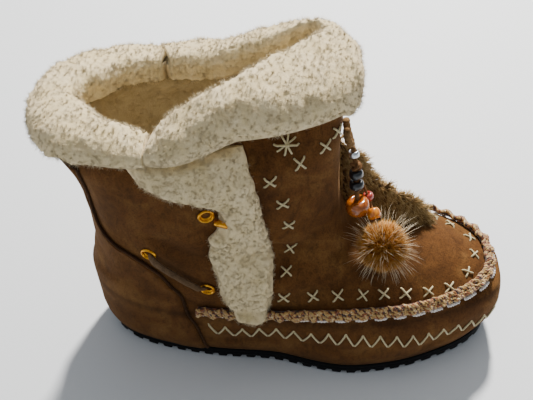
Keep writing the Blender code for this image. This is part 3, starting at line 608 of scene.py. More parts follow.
def fold_depth(place):
    """How far the suede stands out of the plain shell here, in metres."""
    total = 0.0
    for a, b, depth, half_width in FOLD_LINES:
        along = b - a
        share = (place - a).dot(along) / along.length_squared
        near = min(max(share, 0.0), 1.0)
        away = (place - a - along * near).length
        if away < 3.0 * half_width:
            taper = 0.7 + 0.3 * math.cos(3.0 * (near - 0.5))
            total += depth * math.exp(-(away / half_width) ** 2) * taper
    return total


def slack(place):
    """The small unevenness of soft suede: waves of a few centimetres, some tenths of a millimetre high."""
    wide = noise.noise(place * 38.0)
    fine = noise.noise(place * 110.0 + Vector((7.0, 3.0, 1.0)))
    return 0.0006 * wide + 0.00022 * fine


def proud(place):
    """The suede's own height over the plain shell."""
    return fold_depth(place) + slack(place)


def soil_and_shade_at(place, row):
    """0 is clean nap and 1 is the darkest: soil at the foot, painted shade in the creases and a darker band
    along the braid.
    """
    over_sole = place.z - sole_lift(place.x) - SOLE_THICK
    foot = math.exp(-over_sole / 0.0035) * 0.85
    ragged = 0.35 * max(0.0, noise.noise(place * 60.0)) * math.exp(-over_sole / 0.012)
    seam = RING_AT["vamp_seam"]
    edge = 0.55 * math.exp(-((row - seam) / 0.022) ** 2)
    # Painted shade: the suede is darkened in the troughs of the folds, where shade falls.
    crease_shade = min(max(-fold_depth(place) / 0.0016, 0.0), 1.0) * 0.35
    return min(foot + ragged + crease_shade + edge, 1.0)


print("folds:", len(FOLD_LINES))

# %% The upper
TURNS = 200
ROWS = 110
EDGE_HOLD = 0.04


def make_upper():
    bm = bmesh.new()
    # This layer holds soil at the foot, painted shade in the creases and a darker band along the braid.
    soil_and_shade = bm.verts.layers.float.new("soil_and_shade")
    rows = []
    for r in range(ROWS + 1):
        row = r / ROWS
        line = []
        for k in range(TURNS):
            turn = 2.0 * math.pi * k / TURNS
            place = shell_point(turn, row)
            hold = smooth(min(row, 1.0 - row) / EDGE_HOLD)
            moved = place + shell_normal(turn, row) * proud(place) * hold
            line.append((moved, soil_and_shade_at(place, row)))
        rows.append(line)
    grid = grid_faces(bm, [[place for place, _ in line] for line in rows], True)
    for verts, line in zip(grid, rows):
        for vert, (_, share) in zip(verts, line):
            vert[soil_and_shade] = share
    upper = mesh_object("upper_suede", bm, TAN_SUEDE)
    wall = upper.modifiers.new("wall", "SOLIDIFY")
    wall.thickness = SHELL - GAP
    wall.offset = -1.0
    wall.use_quality_normals = True
    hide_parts("upper")
    return upper


UPPER = make_upper()
print("upper:", len(UPPER.data.polygons), "faces")

# %% [markdown]
# Thread is the same thing everywhere on this boot: a line on the surface with a round body. So one
# Geometry Nodes tree turns any mesh of bare edges into thread. Mesh to Curve reads the edges, and Curve
# to Mesh carries a small circle along them. The tree's inputs are the thread's radius, the number of
# its sides and its material. The result is baked to a plain mesh, because the export reads no modifier
# of this kind.


# %% Geometry Nodes helpers
def new_tree(name, inputs):
    """A geometry tree with a geometry input and output and the named inputs."""
    tree = bpy.data.node_groups.new(name, "GeometryNodeTree")
    tree.interface.new_socket("Geometry", in_out="INPUT", socket_type="NodeSocketGeometry")
    for title, kind in inputs:
        tree.interface.new_socket(title, in_out="INPUT", socket_type="NodeSocket" + kind)
    tree.interface.new_socket("Geometry", in_out="OUTPUT", socket_type="NodeSocketGeometry")
    source = node(tree, "NodeGroupInput")
    return tree, source.outputs, node(tree, "NodeGroupOutput")


def bake(source, tree, values, name, replaces=()):
    """Runs the tree on the object, keeps the result as a plain mesh and removes the source."""
    modifier = source.modifiers.new("grow", "NODES")
    modifier.node_group = tree
    for item in tree.interface.items_tree:
        if item.item_type == "SOCKET" and item.in_out == "INPUT" and item.name in values:
            modifier[item.identifier] = values[item.name]
    graph = bpy.context.evaluated_depsgraph_get()
    mesh = bpy.data.meshes.new_from_object(source.evaluated_get(graph), depsgraph=graph)
    source.modifiers.remove(modifier)
    bpy.data.objects.remove(source)
    mesh.name = name
    mesh.shade_smooth()
    made = add_object(name, mesh)
    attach(made, BODY)
    if replaces:
        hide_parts(*replaces)
    print(name, "faces:", len(mesh.polygons))
    return made


def lines_object(name, lines, tones=None):
    """Bare edges along each line of points. tones holds a number for each line, for the material."""
    mesh = bpy.data.meshes.new(name)
    points, edges, tone_values = [], [], []
    for k, line in enumerate(lines):
        first = len(points)
        points += [tuple(p) for p in line]
        edges += [(first + n, first + n + 1) for n in range(len(line) - 1)]
        tone_values += [tones[k] if tones else 0.5] * len(line)
    mesh.from_pydata(points, edges, [])
    layer = mesh.attributes.new("tone", "FLOAT", "POINT")
    layer.data.foreach_set("value", tone_values)
    return add_object(name, mesh)


def thread_tree():
    inputs = [("Radius", "Float"), ("Sides", "Int"), ("Material", "Material")]
    tree, given, out = new_tree("thread_along_lines", inputs)
    curve = node(tree, "GeometryNodeMeshToCurve", links={"Mesh": given["Geometry"]})
    circle = node(tree, "GeometryNodeCurvePrimitiveCircle",
                  links={"Radius": given["Radius"], "Resolution": given["Sides"]})
    tube = node(tree, "GeometryNodeCurveToMesh", values={"Fill Caps": True},
                links={"Curve": curve.outputs[0], "Profile Curve": circle.outputs[0]})
    real = node(tree, "GeometryNodeRealizeInstances", links={"Geometry": tube.outputs[0]})
    finish = node(tree, "GeometryNodeSetMaterial",
                  links={"Geometry": real.outputs[0], "Material": given["Material"]})
    tree.links.new(finish.outputs[0], out.inputs[0])
    return tree


THREAD_TREE = thread_tree()


def threads(name, lines, radius, sides, material, tones=None, replaces=()):
    source = lines_object(name + "_lines", lines, tones)
    bake(source, THREAD_TREE, {"Radius": radius, "Sides": sides, "Material": material}, name, replaces)


# %% [markdown]
# The decorative sewing is cream wool yarn, worked by hand: a row of crosses round the plug of the vamp,
# a column beside the shearling band, a row under the cuff and one eight-pointed star. Each arm dips
# into a small hole at both ends, where a dark stub paints the shade in the hole, and no two crosses are
# quite the same. A zigzag of the same yarn runs along the wall under the braid. The yarn's colour and its
# bumps both come from a fine noise.


# %% Yarn materials
def yarn(name, dark, light):
    material, tree, shader = new_material(name, {
        "Roughness": 0.85, "Specular IOR Level": 0.2, "Sheen Weight": 0.3,
    })
    fibre = object_noise(tree, 0.0007, 3.0, 0.7)
    colour = ramp(tree, fibre, [(0.30, dark), (0.62, light)])
    tree.links.new(colour, shader.inputs["Base Color"])
    bumped(tree, shader, fibre, 0.0003, 0.7)
    return material


CREAM_YARN = yarn("cream_wool_yarn", "A39468", "D8CBA0")
WHITE_YARN = yarn("white_wool_yarn", "C9C0B8", "F4EFEA")
# The holes' dark colour is painted shade.
HOLE_SHADE = new_material("needle_hole_painted_shade", {"Base Color": "1E120A", "Roughness": 0.95})[0]

# %% Crosses, star and zigzag
STITCH_RADIUS = 0.00062
STITCH_SIDES = 6
CROSS_SPIN = 0.15
ARM = 0.0046
STAR_ARM = 0.0066
STITCH_LINE = [
    # share of the half length, lift in radii
    (-1.0, -1.0), (-0.97, -0.2), (-0.8, 0.9), (-0.4, 0.9), (0.0, 0.9), (0.4, 0.9), (0.8, 0.9), (0.97, -0.2),
    (1.0, -1.0),
]
HOLE_RADIUS = 0.0008
HOLE_REACH = 0.0007
random.seed(11)


def arm_line(centre, out, way, half, over):
    """One stitch: it comes up from a hole, lies on the suede or over other arms, and goes down again."""
    line = []
    for share, lift in STITCH_LINE:
        spot = centre + way * share * half
        rise = STITCH_RADIUS * (lift + over if lift > 0.0 else lift)
        line.append(spot + out * (proud(spot) + rise))
    return line


def cross_at(turn, row, size, spin, arms):
    place = shell_point(turn, row)
    out = shell_normal(turn, row)
    along = way_along(turn, row)
    up = out.cross(along).normalized()
    if up.z <= 0:
        up = -up
    lines = []
    for k in range(arms):
        angle = spin + math.pi * (k + 0.5) / arms + random.uniform(-0.14, 0.14)
        way = along * math.cos(angle) + up * math.sin(angle)
        half = size * random.uniform(0.88, 1.08)
        lines.append(arm_line(place, out, way, half, 0.8 * k))
    return lines


CROSSES = [
    # turn as a share of pi and row. The column beside the band, from the top down
    (0.665, 0.860), (0.692, 0.806), (0.703, 0.739), (0.613, 0.556), (0.547, 0.474), (0.497, 0.358),
    # the row round the plug, from the outer side over the toe
    (0.540, 0.345), (0.577, 0.336), (0.617, 0.333), (0.654, 0.333), (0.693, 0.327), (0.739, 0.322),
    (0.793, 0.322), (0.888, 0.349), (1.000, 0.354), (1.092, 0.330), (1.166, 0.334),
    # the row under the cuff
    (0.751, 0.889), (0.843, 0.907), (0.905, 0.924),
]
INNER_CROSSES = [
    # the inner side of the foot, where the photograph shows three of them and the rest follow suit
    (1.212, 0.340), (1.256, 0.340), (1.300, 0.340), (1.343, 0.335), (1.383, 0.335), (1.423, 0.336),
    (1.460, 0.345), (1.503, 0.358), (1.453, 0.474), (1.387, 0.556), (1.297, 0.739),
    (1.308, 0.806), (1.335, 0.860), (1.249, 0.889), (1.157, 0.907), (1.095, 0.924),
]
STARS = [(0.712, 0.942), (1.288, 0.942)]


CROSS_LINES = []
for turn_share, row in CROSSES + INNER_CROSSES:
    CROSS_LINES += cross_at(turn_share * math.pi, row, ARM, random.uniform(-CROSS_SPIN, CROSS_SPIN), 2)
for turn_share, row in STARS:
    CROSS_LINES += cross_at(turn_share * math.pi, row, STAR_ARM, 0.0, 4)

threads("cross_stitches", CROSS_LINES, STITCH_RADIUS, STITCH_SIDES, CREAM_YARN)


def holes_of(lines):
    """A short dark stub at each end of each line: painted shade in the pinhole that the yarn goes through."""
    holes = []
    for line in lines:
        for end, before in ((line[0], line[1]), (line[-1], line[-2])):
            away = (end - before).normalized() * HOLE_REACH
            holes.append([end - away * 0.5, end, end + away])
    return holes


threads("stitch_holes", holes_of(CROSS_LINES), HOLE_RADIUS, STITCH_SIDES, HOLE_SHADE)
print("stitches:", len(CROSS_LINES))

# %% Zigzag on the wall
ZIG_TOP = [
    # turn as a share of pi and row, along the peaks of the zigzag
    (0.354, 0.160), (0.404, 0.154), (0.457, 0.163), (0.509, 0.162), (0.559, 0.170), (0.612, 0.163),
    (0.668, 0.150), (0.700, 0.143), (0.767, 0.134), (0.856, 0.112), (1.000, 0.105),
]
ZIG_DROP = 0.041
ZIG_PITCH = 0.0055
ZIG_SEARCH = 0.0006
ZIG_PARTS = 8


def zigzag():
    shares, rows = zip(*(ZIG_TOP + [(2.0 - t, r) for t, r in reversed(ZIG_TOP[:-1])]))
    measured = 0.0
    last = shell_point(shares[0] * math.pi, rows[0])
    share = shares[0]
    corners = [(share, rows[0])]
    while share < shares[-1]:
        share += ZIG_SEARCH
        here = shell_point(share * math.pi, curve_at(shares, rows, share))
        measured += (here - last).length
        last = here
        if measured >= ZIG_PITCH:
            measured = 0.0
            low = len(corners) % 2
            corners.append((share, curve_at(shares, rows, share) - (ZIG_DROP if low else 0.0)))
    lines = []
    for (t0, r0), (t1, r1) in zip(corners, corners[1:]):
        line = []
        for k in range(ZIG_PARTS + 1):
            s = k / ZIG_PARTS
            turn, row = mix(t0, t1, s) * math.pi, mix(r0, r1, s)
            lift = STITCH_RADIUS * (0.9 if 0 < k < ZIG_PARTS else -0.8)
            base = shell_point(turn, row)
            line.append(base + shell_normal(turn, row) * (proud(base) + lift))
        lines.append(line)
    return lines


threads("zigzag_stitches", zigzag(), STITCH_RADIUS, STITCH_SIDES, CREAM_YARN)

# %% [markdown]
# The braid over the seam of the vamp is a flat plait of flecked yarn: gold, rust and dark brown plies
# twisted together, then worked over and under each other. Four strands swing from side to side, each
# a quarter of a turn behind the last, and rise and fall as they cross. Each strand is three plies that
# wind round it, and straight dark plies under them paint the shade in the body of the braid. The plies
# are lines, so the same thread tree makes them. A second row, a running stitch of white yarn, holds the
# braid's lower edge.


# %% Braid plies
def flecked_yarn():
    material, tree, shader = new_material("flecked_wool_plies", {"Roughness": 0.7, "Sheen Weight": 0.3})
    where = drifting(tree, attribute(tree, "tone"), object_noise(tree, 0.0022, 2.0, 0.6), 1.5, -0.75)
    plies = ramp(tree, where, [
        (0.10, "26140A"), (0.27, "5E3416"), (0.41, "A0501C"), (0.54, "C49A52"), (0.69, "DCBC7C"),
        (0.84, "A87430"), (0.97, "F2E0B8"),
    ])
    fibre = object_noise(tree, 0.0005, 3.0, 0.7)
    dull = ramp(tree, fibre, [(0.30, "8C8C8C"), (0.60, "FFFFFF")])
    colour = mixed(tree, 0.7, plies, dull, "MULTIPLY")
    tree.links.new(colour, shader.inputs["Base Color"])
    bumped(tree, shader, fibre, 0.0003, 0.7)
    return material


FLECKED_YARN = flecked_yarn()
BRAID_WIDTH = 0.0085
BRAID_START = 0.458
BRAID_PITCH = 0.0105
BRAID_STEP = 0.0009
BRAID_ROWS = [
    # turn as a share of pi, row that the braid's middle follows
    (0.30, 0.256), (0.36, 0.262), (0.50, 0.273), (0.58, 0.266), (0.66, 0.268), (0.72, 0.274), (0.78, 0.286),
    (0.86, 0.302), (0.94, 0.308), (1.00, 0.300), (1.10, 0.280), (1.24, 0.268), (1.34, 0.264), (1.50, 0.262),
    (1.70, 0.256),
]
BASE = 0.0008
STRANDS = 4
SHADE_PLIES = 5
PLY_RADIUS = 0.00078
PLY_TWIST = 0.0042
PLY_SIDES = 5


def braid_stations():
    """Places along the seam with their frames, from one end of the braid to the other."""
    shares, middles = zip(*BRAID_ROWS)

    def middle(turn):
        return curve_at(shares, middles, turn / math.pi)

    start = find_on_shell(BRAID_START * SHAFT_DEPTH - HEEL_CENTRE, WALL_HEIGHT)[0]
    end = 2.0 * math.pi - start
    stations = []
    measured = 0.0
    turn = start
    last = shell_point(turn, middle(turn))
    while turn < end:
        row = middle(turn)
        place = shell_point(turn, row)
        measured += (place - last).length
        last = place
        out = shell_normal(turn, row)
        stations.append((place, out, out.cross(way_along(turn, row)).normalized(), measured))
        speed = (shell_point(turn + 0.01, row) - place).length / 0.01
        turn += BRAID_STEP / speed
    return stations


STATIONS = braid_stations()
print("braid length:", round(STATIONS[-1][3], 3))


def braid_lines():
    lines, tones = [], []
    swing = BRAID_WIDTH / 2.0 - 0.0016
    for strand in range(STRANDS):
        phase = 2.0 * math.pi * strand / STRANDS
        for ply in range(3):
            line = []
            for place, out, across, far in STATIONS:
                angle = 2.0 * math.pi * far / BRAID_PITCH / 2.0 + phase
                side = swing * math.sin(angle)
                rise = BASE + 0.0026 + 0.0011 * math.cos(2.0 * angle + math.pi * (strand % 2))
                twist = 2.0 * math.pi * (far / PLY_TWIST + ply / 3.0) + strand
                side += PLY_RADIUS * 1.05 * math.cos(twist)
                rise += PLY_RADIUS * 1.05 * math.sin(twist)
                line.append(place + across * side + out * rise)
            lines.append(line)
            tones.append((0.30, 0.52, 0.72)[ply] + 0.05 * (strand - 1.5))
    # Painted shade: straight plies of the darkest tone lie under the strands and stand for the shade inside
    # the braid.
    for shade_ply in range(SHADE_PLIES):
        side = swing * (2.0 * shade_ply / (SHADE_PLIES - 1) - 1.0)
        lines.append([place + across * side + out * (BASE + 0.0013) for place, out, across, _ in STATIONS])
        tones.append(0.22)
    return lines, tones


BRAID_LINES, BRAID_TONES = braid_lines()
threads("braid_plies", BRAID_LINES, PLY_RADIUS, PLY_SIDES, FLECKED_YARN, BRAID_TONES, ("vamp_braid",))

# %% White running stitch
DASH_PITCH = 0.0125
DASH_LENGTH = 0.0088
DASH_RADIUS = 0.00125
DASH_TWIST = 0.004


def dashes():
    lines = []
    line = []
    for place, out, across, far in STATIONS:
        share = (far % DASH_PITCH) / DASH_LENGTH
        down = across if across.z < 0 else -across
        if share < 1.0:
            lift = math.sin(math.pi * share) ** 0.6
            spot = place + down * (BRAID_WIDTH / 2.0 + 0.0008)
            line.append(spot + out * (BASE * 0.4 + DASH_RADIUS * (0.9 * lift - 0.2)))
        elif line:
            lines.append(line)
            line = []
    return lines


def twisted(line, radius, pitch, plies=2):
    """The same line as two thinner plies wound round it."""
    made = []
    length = 0.0
    ways = []
    for k, spot in enumerate(line):
        ahead = (line[min(k + 1, len(line) - 1)] - line[max(k - 1, 0)]).normalized()
        side = ways[-1][1] if ways else ahead.orthogonal()
        side = (side - ahead * side.dot(ahead)).normalized()
        length += (spot - line[k - 1]).length if k else 0.0
        ways.append((ahead, side, length))
    for ply in range(plies):
        out_line = []
        for spot, (ahead, side, far) in zip(line, ways):
            angle = 2.0 * math.pi * (far / pitch + ply / plies)
            out_line.append(spot + (side * math.cos(angle) + ahead.cross(side) * math.sin(angle)) * radius)
        made.append(out_line)
    return made


DASH_LINES = [ply for line in dashes() for ply in twisted(line, DASH_RADIUS * 0.5, DASH_TWIST)]
threads("white_running_stitch", DASH_LINES, DASH_RADIUS * 0.62, PLY_SIDES, WHITE_YARN)

# %% [markdown]
# Shearling is sheepskin with its wool left on, sheared to about a centimetre. Seen close, it is a mass
# of short locks with their tips curled together: cream at the tips, and darker where the locks part. The
# form under it is a fine grid that is pushed in and out by slow waves and by small lumps, and it carries
# most of the look. Then Geometry Nodes spreads small locks on it, each of a few thin bent hairs, turned
# at random about the way the wool lies there. The material reads how deep a point lies from the
# attribute named depth, and paints the partings and the roots a darker tan as painted shade. The
# attribute named form holds the smooth form's normal, which softens the hair's shading.


# %% Shearling material
def soft_normal(tree, share):
    """The face's own normal, drawn towards the smooth form that the hair grows on."""
    own = node(tree, "ShaderNodeNewGeometry").outputs["Normal"]
    kept = vector_maths(tree, "SCALE", {0: own}, {"Scale": 1.0 - share})
    drawn = vector_maths(tree, "SCALE", {0: attribute(tree, "form", "Vector")}, {"Scale": share})
    return vector_maths(tree, "NORMALIZE", {0: vector_maths(tree, "ADD", {0: kept, 1: drawn})})


def shearling(name, deep, middle, tip):
    material, tree, shader = new_material(name, {
        "Roughness": 0.9, "Specular IOR Level": 0.12, "Sheen Weight": 0.7, "Sheen Roughness": 0.6,
        "Sheen Tint": "FFE8C4",
    })
    # Painted shade: the deep colour, which the depth attribute gives where the locks part and at their roots,
    # stands for the shade there.
    where = drifting(tree, attribute(tree, "depth"), object_noise(tree, 0.012, 3.0, 0.6, 0.5), 0.7, -0.33)
    colour = ramp(tree, where, [(0.05, deep), (0.40, middle), (0.85, tip)])
    fibre = object_noise(tree, 0.0008, 3.0, 0.75)
    dull = ramp(tree, fibre, [(0.25, "D2C6B0"), (0.60, "FFFFFF")])
    colour = mixed(tree, 0.5, colour, dull, "MULTIPLY")
    tree.links.new(colour, shader.inputs["Base Color"])
    bumped(tree, shader, fibre, 0.0005, 0.6, soft_normal(tree, 0.65))
    return material


CREAM_SHEARLING = shearling("cream_shearling_wool", "BC9C62", "E2CE9A", "F4E2B8")
# A darker copy of the same wool for the lining: its darker colours are painted shade inside the shaft.
SHADED_SHEARLING = shearling("lining_wool_painted_shade", "84704C", "B4A27C", "D2C29C")

# %% Wool lock and the tree that spreads it


def lock_object(name, spikes, length, width, bend, seed, segments=3, root=0.25):
    """A few bent, tapered spikes with three sides each, rooted at the origin and standing along +Z."""
    random.seed(seed)
    bm = bmesh.new()
    depth = bm.verts.layers.float.new("depth")
    for k in range(spikes):
        angle = 2.0 * math.pi * (k + random.uniform(-0.25, 0.25)) / spikes
        lean = Vector((math.cos(angle), math.sin(angle), 0.0))
        curl = lean.cross(Vector((0, 0, 1))) * random.uniform(-0.4, 0.4)
        long = length * random.uniform(0.8, 1.15)
        rings = []
        for n in range(segments):
            share = n / segments
            centre = Vector((0, 0, long * (share - 0.1))) + (lean + curl) * bend * long * share ** 1.6
            radius = width * 0.5 * (1.0 - 0.75 * share)
            ring = []
            for c in range(3):
                way = 2.0 * math.pi * c / 3 + angle
                vert = bm.verts.new(centre + Vector((math.cos(way), math.sin(way), 0.0)) * radius)
                vert[depth] = mix(root, 0.9, share)
                ring.append(vert)
            rings.append(ring)
        tip = bm.verts.new(Vector((0, 0, long * 0.86)) + (lean + curl) * bend * long * 1.05)
        tip[depth] = 0.95
        bm.faces.new(list(reversed(rings[0])))
        for low, high in zip(rings, rings[1:]):
            for c in range(3):
                bm.faces.new((low[c], low[(c + 1) % 3], high[(c + 1) % 3], high[c]))
        for c in range(3):
            bm.faces.new((rings[-1][c], rings[-1][(c + 1) % 3], tip))
    mesh = bpy.data.meshes.new(name)
    bm.to_mesh(mesh)
    bm.free()
    return bpy.data.objects.new(name, mesh)


FULL_TURN = 6.283


def tuft_tree():
    """Spreads a lock over a surface. The locks follow the attribute named way, scattered a little."""
    tree, given, out = new_tree("locks_over_surface", [
        ("Lock", "Object"), ("Density", "Float"), ("Seed", "Int"), ("Scatter", "Float"),
        ("Smallest", "Float"), ("Largest", "Float"), ("Material", "Material"),
    ])
    cover = node(tree, "GeometryNodeInputNamedAttribute", {"data_type": "FLOAT"}, values={"Name": "cover"})
    dense = node(tree, "ShaderNodeMath", {"operation": "MULTIPLY"},
                 links={0: cover.outputs["Attribute"], 1: given["Density"]})
    points = node(tree, "GeometryNodeDistributePointsOnFaces",
                  links={"Mesh": given["Geometry"], "Density": dense.outputs[0], "Seed": given["Seed"]})
    way = node(tree, "GeometryNodeInputNamedAttribute", {"data_type": "FLOAT_VECTOR"}, values={"Name": "way"})
    seeded = {"Seed": given["Seed"]}
    spread = node(tree, "FunctionNodeRandomValue", {"data_type": "FLOAT_VECTOR"}, links=seeded)
    spread.inputs["Min"].default_value = (-1.0, -1.0, -1.0)
    spread.inputs["Max"].default_value = (1.0, 1.0, 1.0)
    scaled = vector_maths(tree, "SCALE", {0: spread.outputs["Value"], "Scale": given["Scatter"]})
    aimed = vector_maths(tree, "ADD", {0: way.outputs["Attribute"], 1: scaled})
    align = node(tree, "FunctionNodeAlignRotationToVector", {"axis": "Z"}, links={"Vector": aimed})
    spin = node(tree, "FunctionNodeRandomValue", {"data_type": "FLOAT"}, links={"Seed": given["Seed"]})
    spin.inputs[2].default_value = 0.0
    spin.inputs[3].default_value = FULL_TURN
    euler = node(tree, "ShaderNodeCombineXYZ", links={"Z": spin.outputs[1]})
    turned = node(tree, "FunctionNodeRotateRotation", {"rotation_space": "LOCAL"},
                  links={"Rotation": align.outputs[0], "Rotate By": euler.outputs[0]})
    size = node(tree, "FunctionNodeRandomValue", {"data_type": "FLOAT"},
                links={2: given["Smallest"], 3: given["Largest"], "Seed": given["Seed"]})
    lock = node(tree, "GeometryNodeObjectInfo", links={"Object": given["Lock"]})
    placed = node(tree, "GeometryNodeInstanceOnPoints",
                  links={"Points": points.outputs["Points"], "Instance": lock.outputs["Geometry"],
                         "Rotation": turned.outputs[0], "Scale": size.outputs[1]})
    both = node(tree, "GeometryNodeJoinGeometry")
    tree.links.new(placed.outputs[0], both.inputs[0])
    tree.links.new(given["Geometry"], both.inputs[0])
    real = node(tree, "GeometryNodeRealizeInstances", links={"Geometry": both.outputs[0]})
    finish = node(tree, "GeometryNodeSetMaterial",
                  links={"Geometry": real.outputs[0], "Material": given["Material"]})
    tree.links.new(finish.outputs[0], out.inputs[0])
    return tree


TUFT_TREE = tuft_tree()
WOOL_LOCK = lock_object("wool_lock", 6, 0.0026, 0.00022, 0.70, 3, 1, 0.75)


def grown(name, bm, lock, material, density, seed, scatter, sizes, replaces=()):
    """Bakes a surface together with the locks on it. Its mesh has the layers cover, depth and way."""
    mesh = bpy.data.meshes.new(name + "_form")
    bm.to_mesh(mesh)
    bm.free()
    values = {"Lock": lock, "Density": density, "Seed": seed, "Scatter": scatter, "Smallest": sizes[0],
              "Largest": sizes[1], "Material": material}
    return bake(add_object(name + "_form", mesh), TUFT_TREE, values, name, replaces)


WOOL_CELLS = [
    # cells in a metre, how steep their crowns are, height, share of the depth, shift of the pattern
    (210.0, 1.5, 0.0010, 0.10, (0.0, 0.0, 5.0)),
    (95.0, 1.3, 0.0014, 0.16, (0.0, 0.0, 0.0)),
    (420.0, 1.5, 0.0010, 0.12, (0.0, 0.0, 0.0)),
]


def wool_height(place):
    """How far the wool stands in or out here, and how deep that is: 0 in a parting, 1 on a crown."""
    height, deep = 0.0011 * noise.noise(place * 70.0), 0.50
    for cells, steep, high, share, shift in WOOL_CELLS:
        crown = 1.0 - min(noise.voronoi(place * cells + Vector(shift))[0][0] * steep, 1.0)
        height += high * (crown - 0.5)
        deep += share * crown
    return height, min(max(deep, 0.0), 1.0)


def hair_layers(bm):
    """The layers that hair needs: depth for its colour, cover, way and form for how it grows."""
    floats, vectors = bm.verts.layers.float, bm.verts.layers.float_vector
    return floats.new("depth"), floats.new("cover"), vectors.new("way"), vectors.new("form")


def woolly_grid(rows, cover_of, lean, hold_of=None):
    """A closed form from rows of points, with its wool height, and the layers that the locks follow."""
    bm = bmesh.new()
    depth, cover, way, form = hair_layers(bm)
    grid = grid_faces(bm, rows, True)
    close_ends(bm, grid)
    bm.normal_update()
    moves = []
    for i, line in enumerate(grid):
        for j, vert in enumerate(line):
            share = cover_of(i, j)
            height, deep = wool_height(vert.co)
            hold = share if hold_of is None else hold_of(i, j)
            moves.append((vert, vert.normal * height * hold))
            vert[depth] = deep
            vert[cover] = share
            vert[way] = (vert.normal + lean * 0.35).normalized()
            vert[form] = vert.normal
    for vert, move in moves:
        vert.co += move
    return bm


# %% [markdown]
# The two cuffs are the collar of the same skin, folded outwards. The back one goes round the heel. The
# front one is the bigger: its near side is a thick roll that leans in over the opening towards the far
# side, so that only a narrow slit is left there. A section follows the shell's outer face from the
# cuff's lower edge up, over a ridge whose places stand in a table, and down inside.

# %% The cuffs
CUFF_THICK = 0.0140
CUFF_INSIDE = 0.04
CUFF_HIGHEST = 0.972
CUFF_BELLY = 0.95
CUFF_LIP = 0.62
CUFF_CLEAR = 0.0012
NOTCH = 0.325
NOTCH_GAP = 0.004
BACK_CUFF = [
    # share of the way round, lower edge as a share of the collar's height, thickness as a share, the
    # ridge's x and y in millimetres, its height as a share of the collar's, and how far the wool goes in
    # and down from the ridge, in millimetres
    (0.00, 0.930, 0.80, 14.0, -35.0, 1.000, 5.0, 14.0),
    (0.15, 0.925, 1.00, -8.0, -31.0, 1.015, 9.0, 16.0),
    (0.30, 0.928, 0.85, -22.0, -21.0, 1.015, 9.0, 17.0),
    (0.50, 0.920, 0.62, -36.0, 0.0, 1.010, 9.0, 17.0),
    (0.70, 0.928, 0.80, -23.0, 22.0, 1.010, 12.0, 17.0),
    (0.85, 0.925, 0.90, -8.0, 33.0, 1.000, 10.0, 16.0),
    (1.00, 0.930, 0.80, 14.0, 37.0, 0.990, 7.0, 14.0),
]
FRONT_CUFF = [
    (0.000, 0.985, 0.80, 18.0, -36.0, 1.010, 6.0, 14.0),
    (0.060, 0.982, 1.00, 30.0, -31.0, 1.060, 7.0, 16.0),
    (0.120, 0.980, 1.10, 46.0, -25.0, 1.100, 7.0, 18.0),
    (0.200, 0.990, 1.15, 64.0, -13.0, 1.115, 6.0, 20.0),
    (0.290, 1.000, 1.00, 80.0, 2.0, 1.120, 6.0, 20.0),
    (0.370, 1.010, 0.80, 92.0, 12.0, 1.125, 5.0, 20.0),
    (0.440, 0.985, 0.62, 101.0, 18.0, 1.135, 5.0, 20.0),
    (0.500, 0.965, 0.60, 107.0, 22.0, 1.140, 5.0, 20.0),
    (0.560, 0.975, 0.65, 108.0, 26.0, 1.145, 5.0, 20.0),
    (0.640, 0.995, 0.85, 103.0, 31.0, 1.140, 5.0, 20.0),
    (0.750, 0.995, 1.00, 82.0, 33.0, 1.105, 9.0, 18.0),
    (0.880, 0.980, 0.90, 47.0, 34.0, 1.030, 9.0, 16.0),
    (1.000, 0.985, 0.80, 18.0, 36.0, 0.995, 7.0, 14.0),
]


def cuff_section(turn, low, thick, ridge, reach, drop):
    """The hidden points of a section, against the shell, and those of its wool, from inside out."""
    row_low = min(row_at(turn, low), CUFF_HIGHEST)
    middle = (1.0 + row_low) / 2.0
    edge = shell_point(turn, 1.0)
    normal = shell_normal(turn, 1.0)
    out = Vector((normal.x, normal.y, 0.0)).normalized()
    up = Vector((0.0, 0.0, 1.0))
    wall = SHELL + 3.0 * CUFF_CLEAR
    hidden = [on_shell(turn, row_low, CUFF_CLEAR), on_shell(turn, middle, CUFF_CLEAR),
              edge + out * CUFF_CLEAR + up * BASE, edge - out * wall + up * BASE,
              on_shell(turn, 1.0 - CUFF_INSIDE, -wall)]
    inward = (Vector((ridge.x - edge.x, ridge.y - edge.y, 0.0)) - out * CUFF_THICK).normalized()
    shoulder = edge + out * thick * CUFF_BELLY + up * (ridge.z - edge.z) * 0.30
    crown = shoulder.lerp(ridge, 0.45) + up * (ridge.z - shoulder.z) * 0.42
    wool = [ridge + inward * reach - up * drop, ridge + inward * reach * 0.92 - up * drop * 0.45,
            ridge + inward * reach * 0.45 - up * drop * 0.08, ridge, crown, shoulder,
            on_shell(turn, middle, thick * CUFF_BELLY), on_shell(turn, row_low, thick * CUFF_LIP)]
    return hidden, wool


DOWN = Vector((0.0, 0.0, -1.0))
WOOL_POINTS = 64
WOOL_DENSITY = 175000.0
FAR_LAP = 0.025


def cuff_rows(table, start, end, stations):
    columns = list(zip(*table))
    rows = []
    for k in range(stations + 1):
        share = k / stations
        turn = mix(start, end, share)
        low, thick, x, y, z, reach, drop = [curve_at(columns[0], c, share) for c in columns[1:]]
        ridge = Vector((x * MM, y * MM, z * COLLAR_HEIGHT))
        hidden, wool = cuff_section(turn, low * COLLAR_HEIGHT, thick * CUFF_THICK, ridge, reach * MM,
                                    drop * MM)
        rows.append(smooth_route(wool, WOOL_POINTS) + hidden)
    return rows


def make_cuff(name, table, start, end, stations, node_name, seed):
    rows = cuff_rows(table, start, end, stations)

    def cover_of(i, j):
        return 1.0 if j < WOOL_POINTS - 1 else 0.0

    def hold_of(i, j):
        return cover_of(i, j) * smooth(min(i, stations - i) / 2.0)

    bm = woolly_grid(rows, cover_of, DOWN, hold_of)
    grown(name, bm, WOOL_LOCK, CREAM_SHEARLING, WOOL_DENSITY, seed, 0.40, (0.6, 1.2),
          (node_name,))


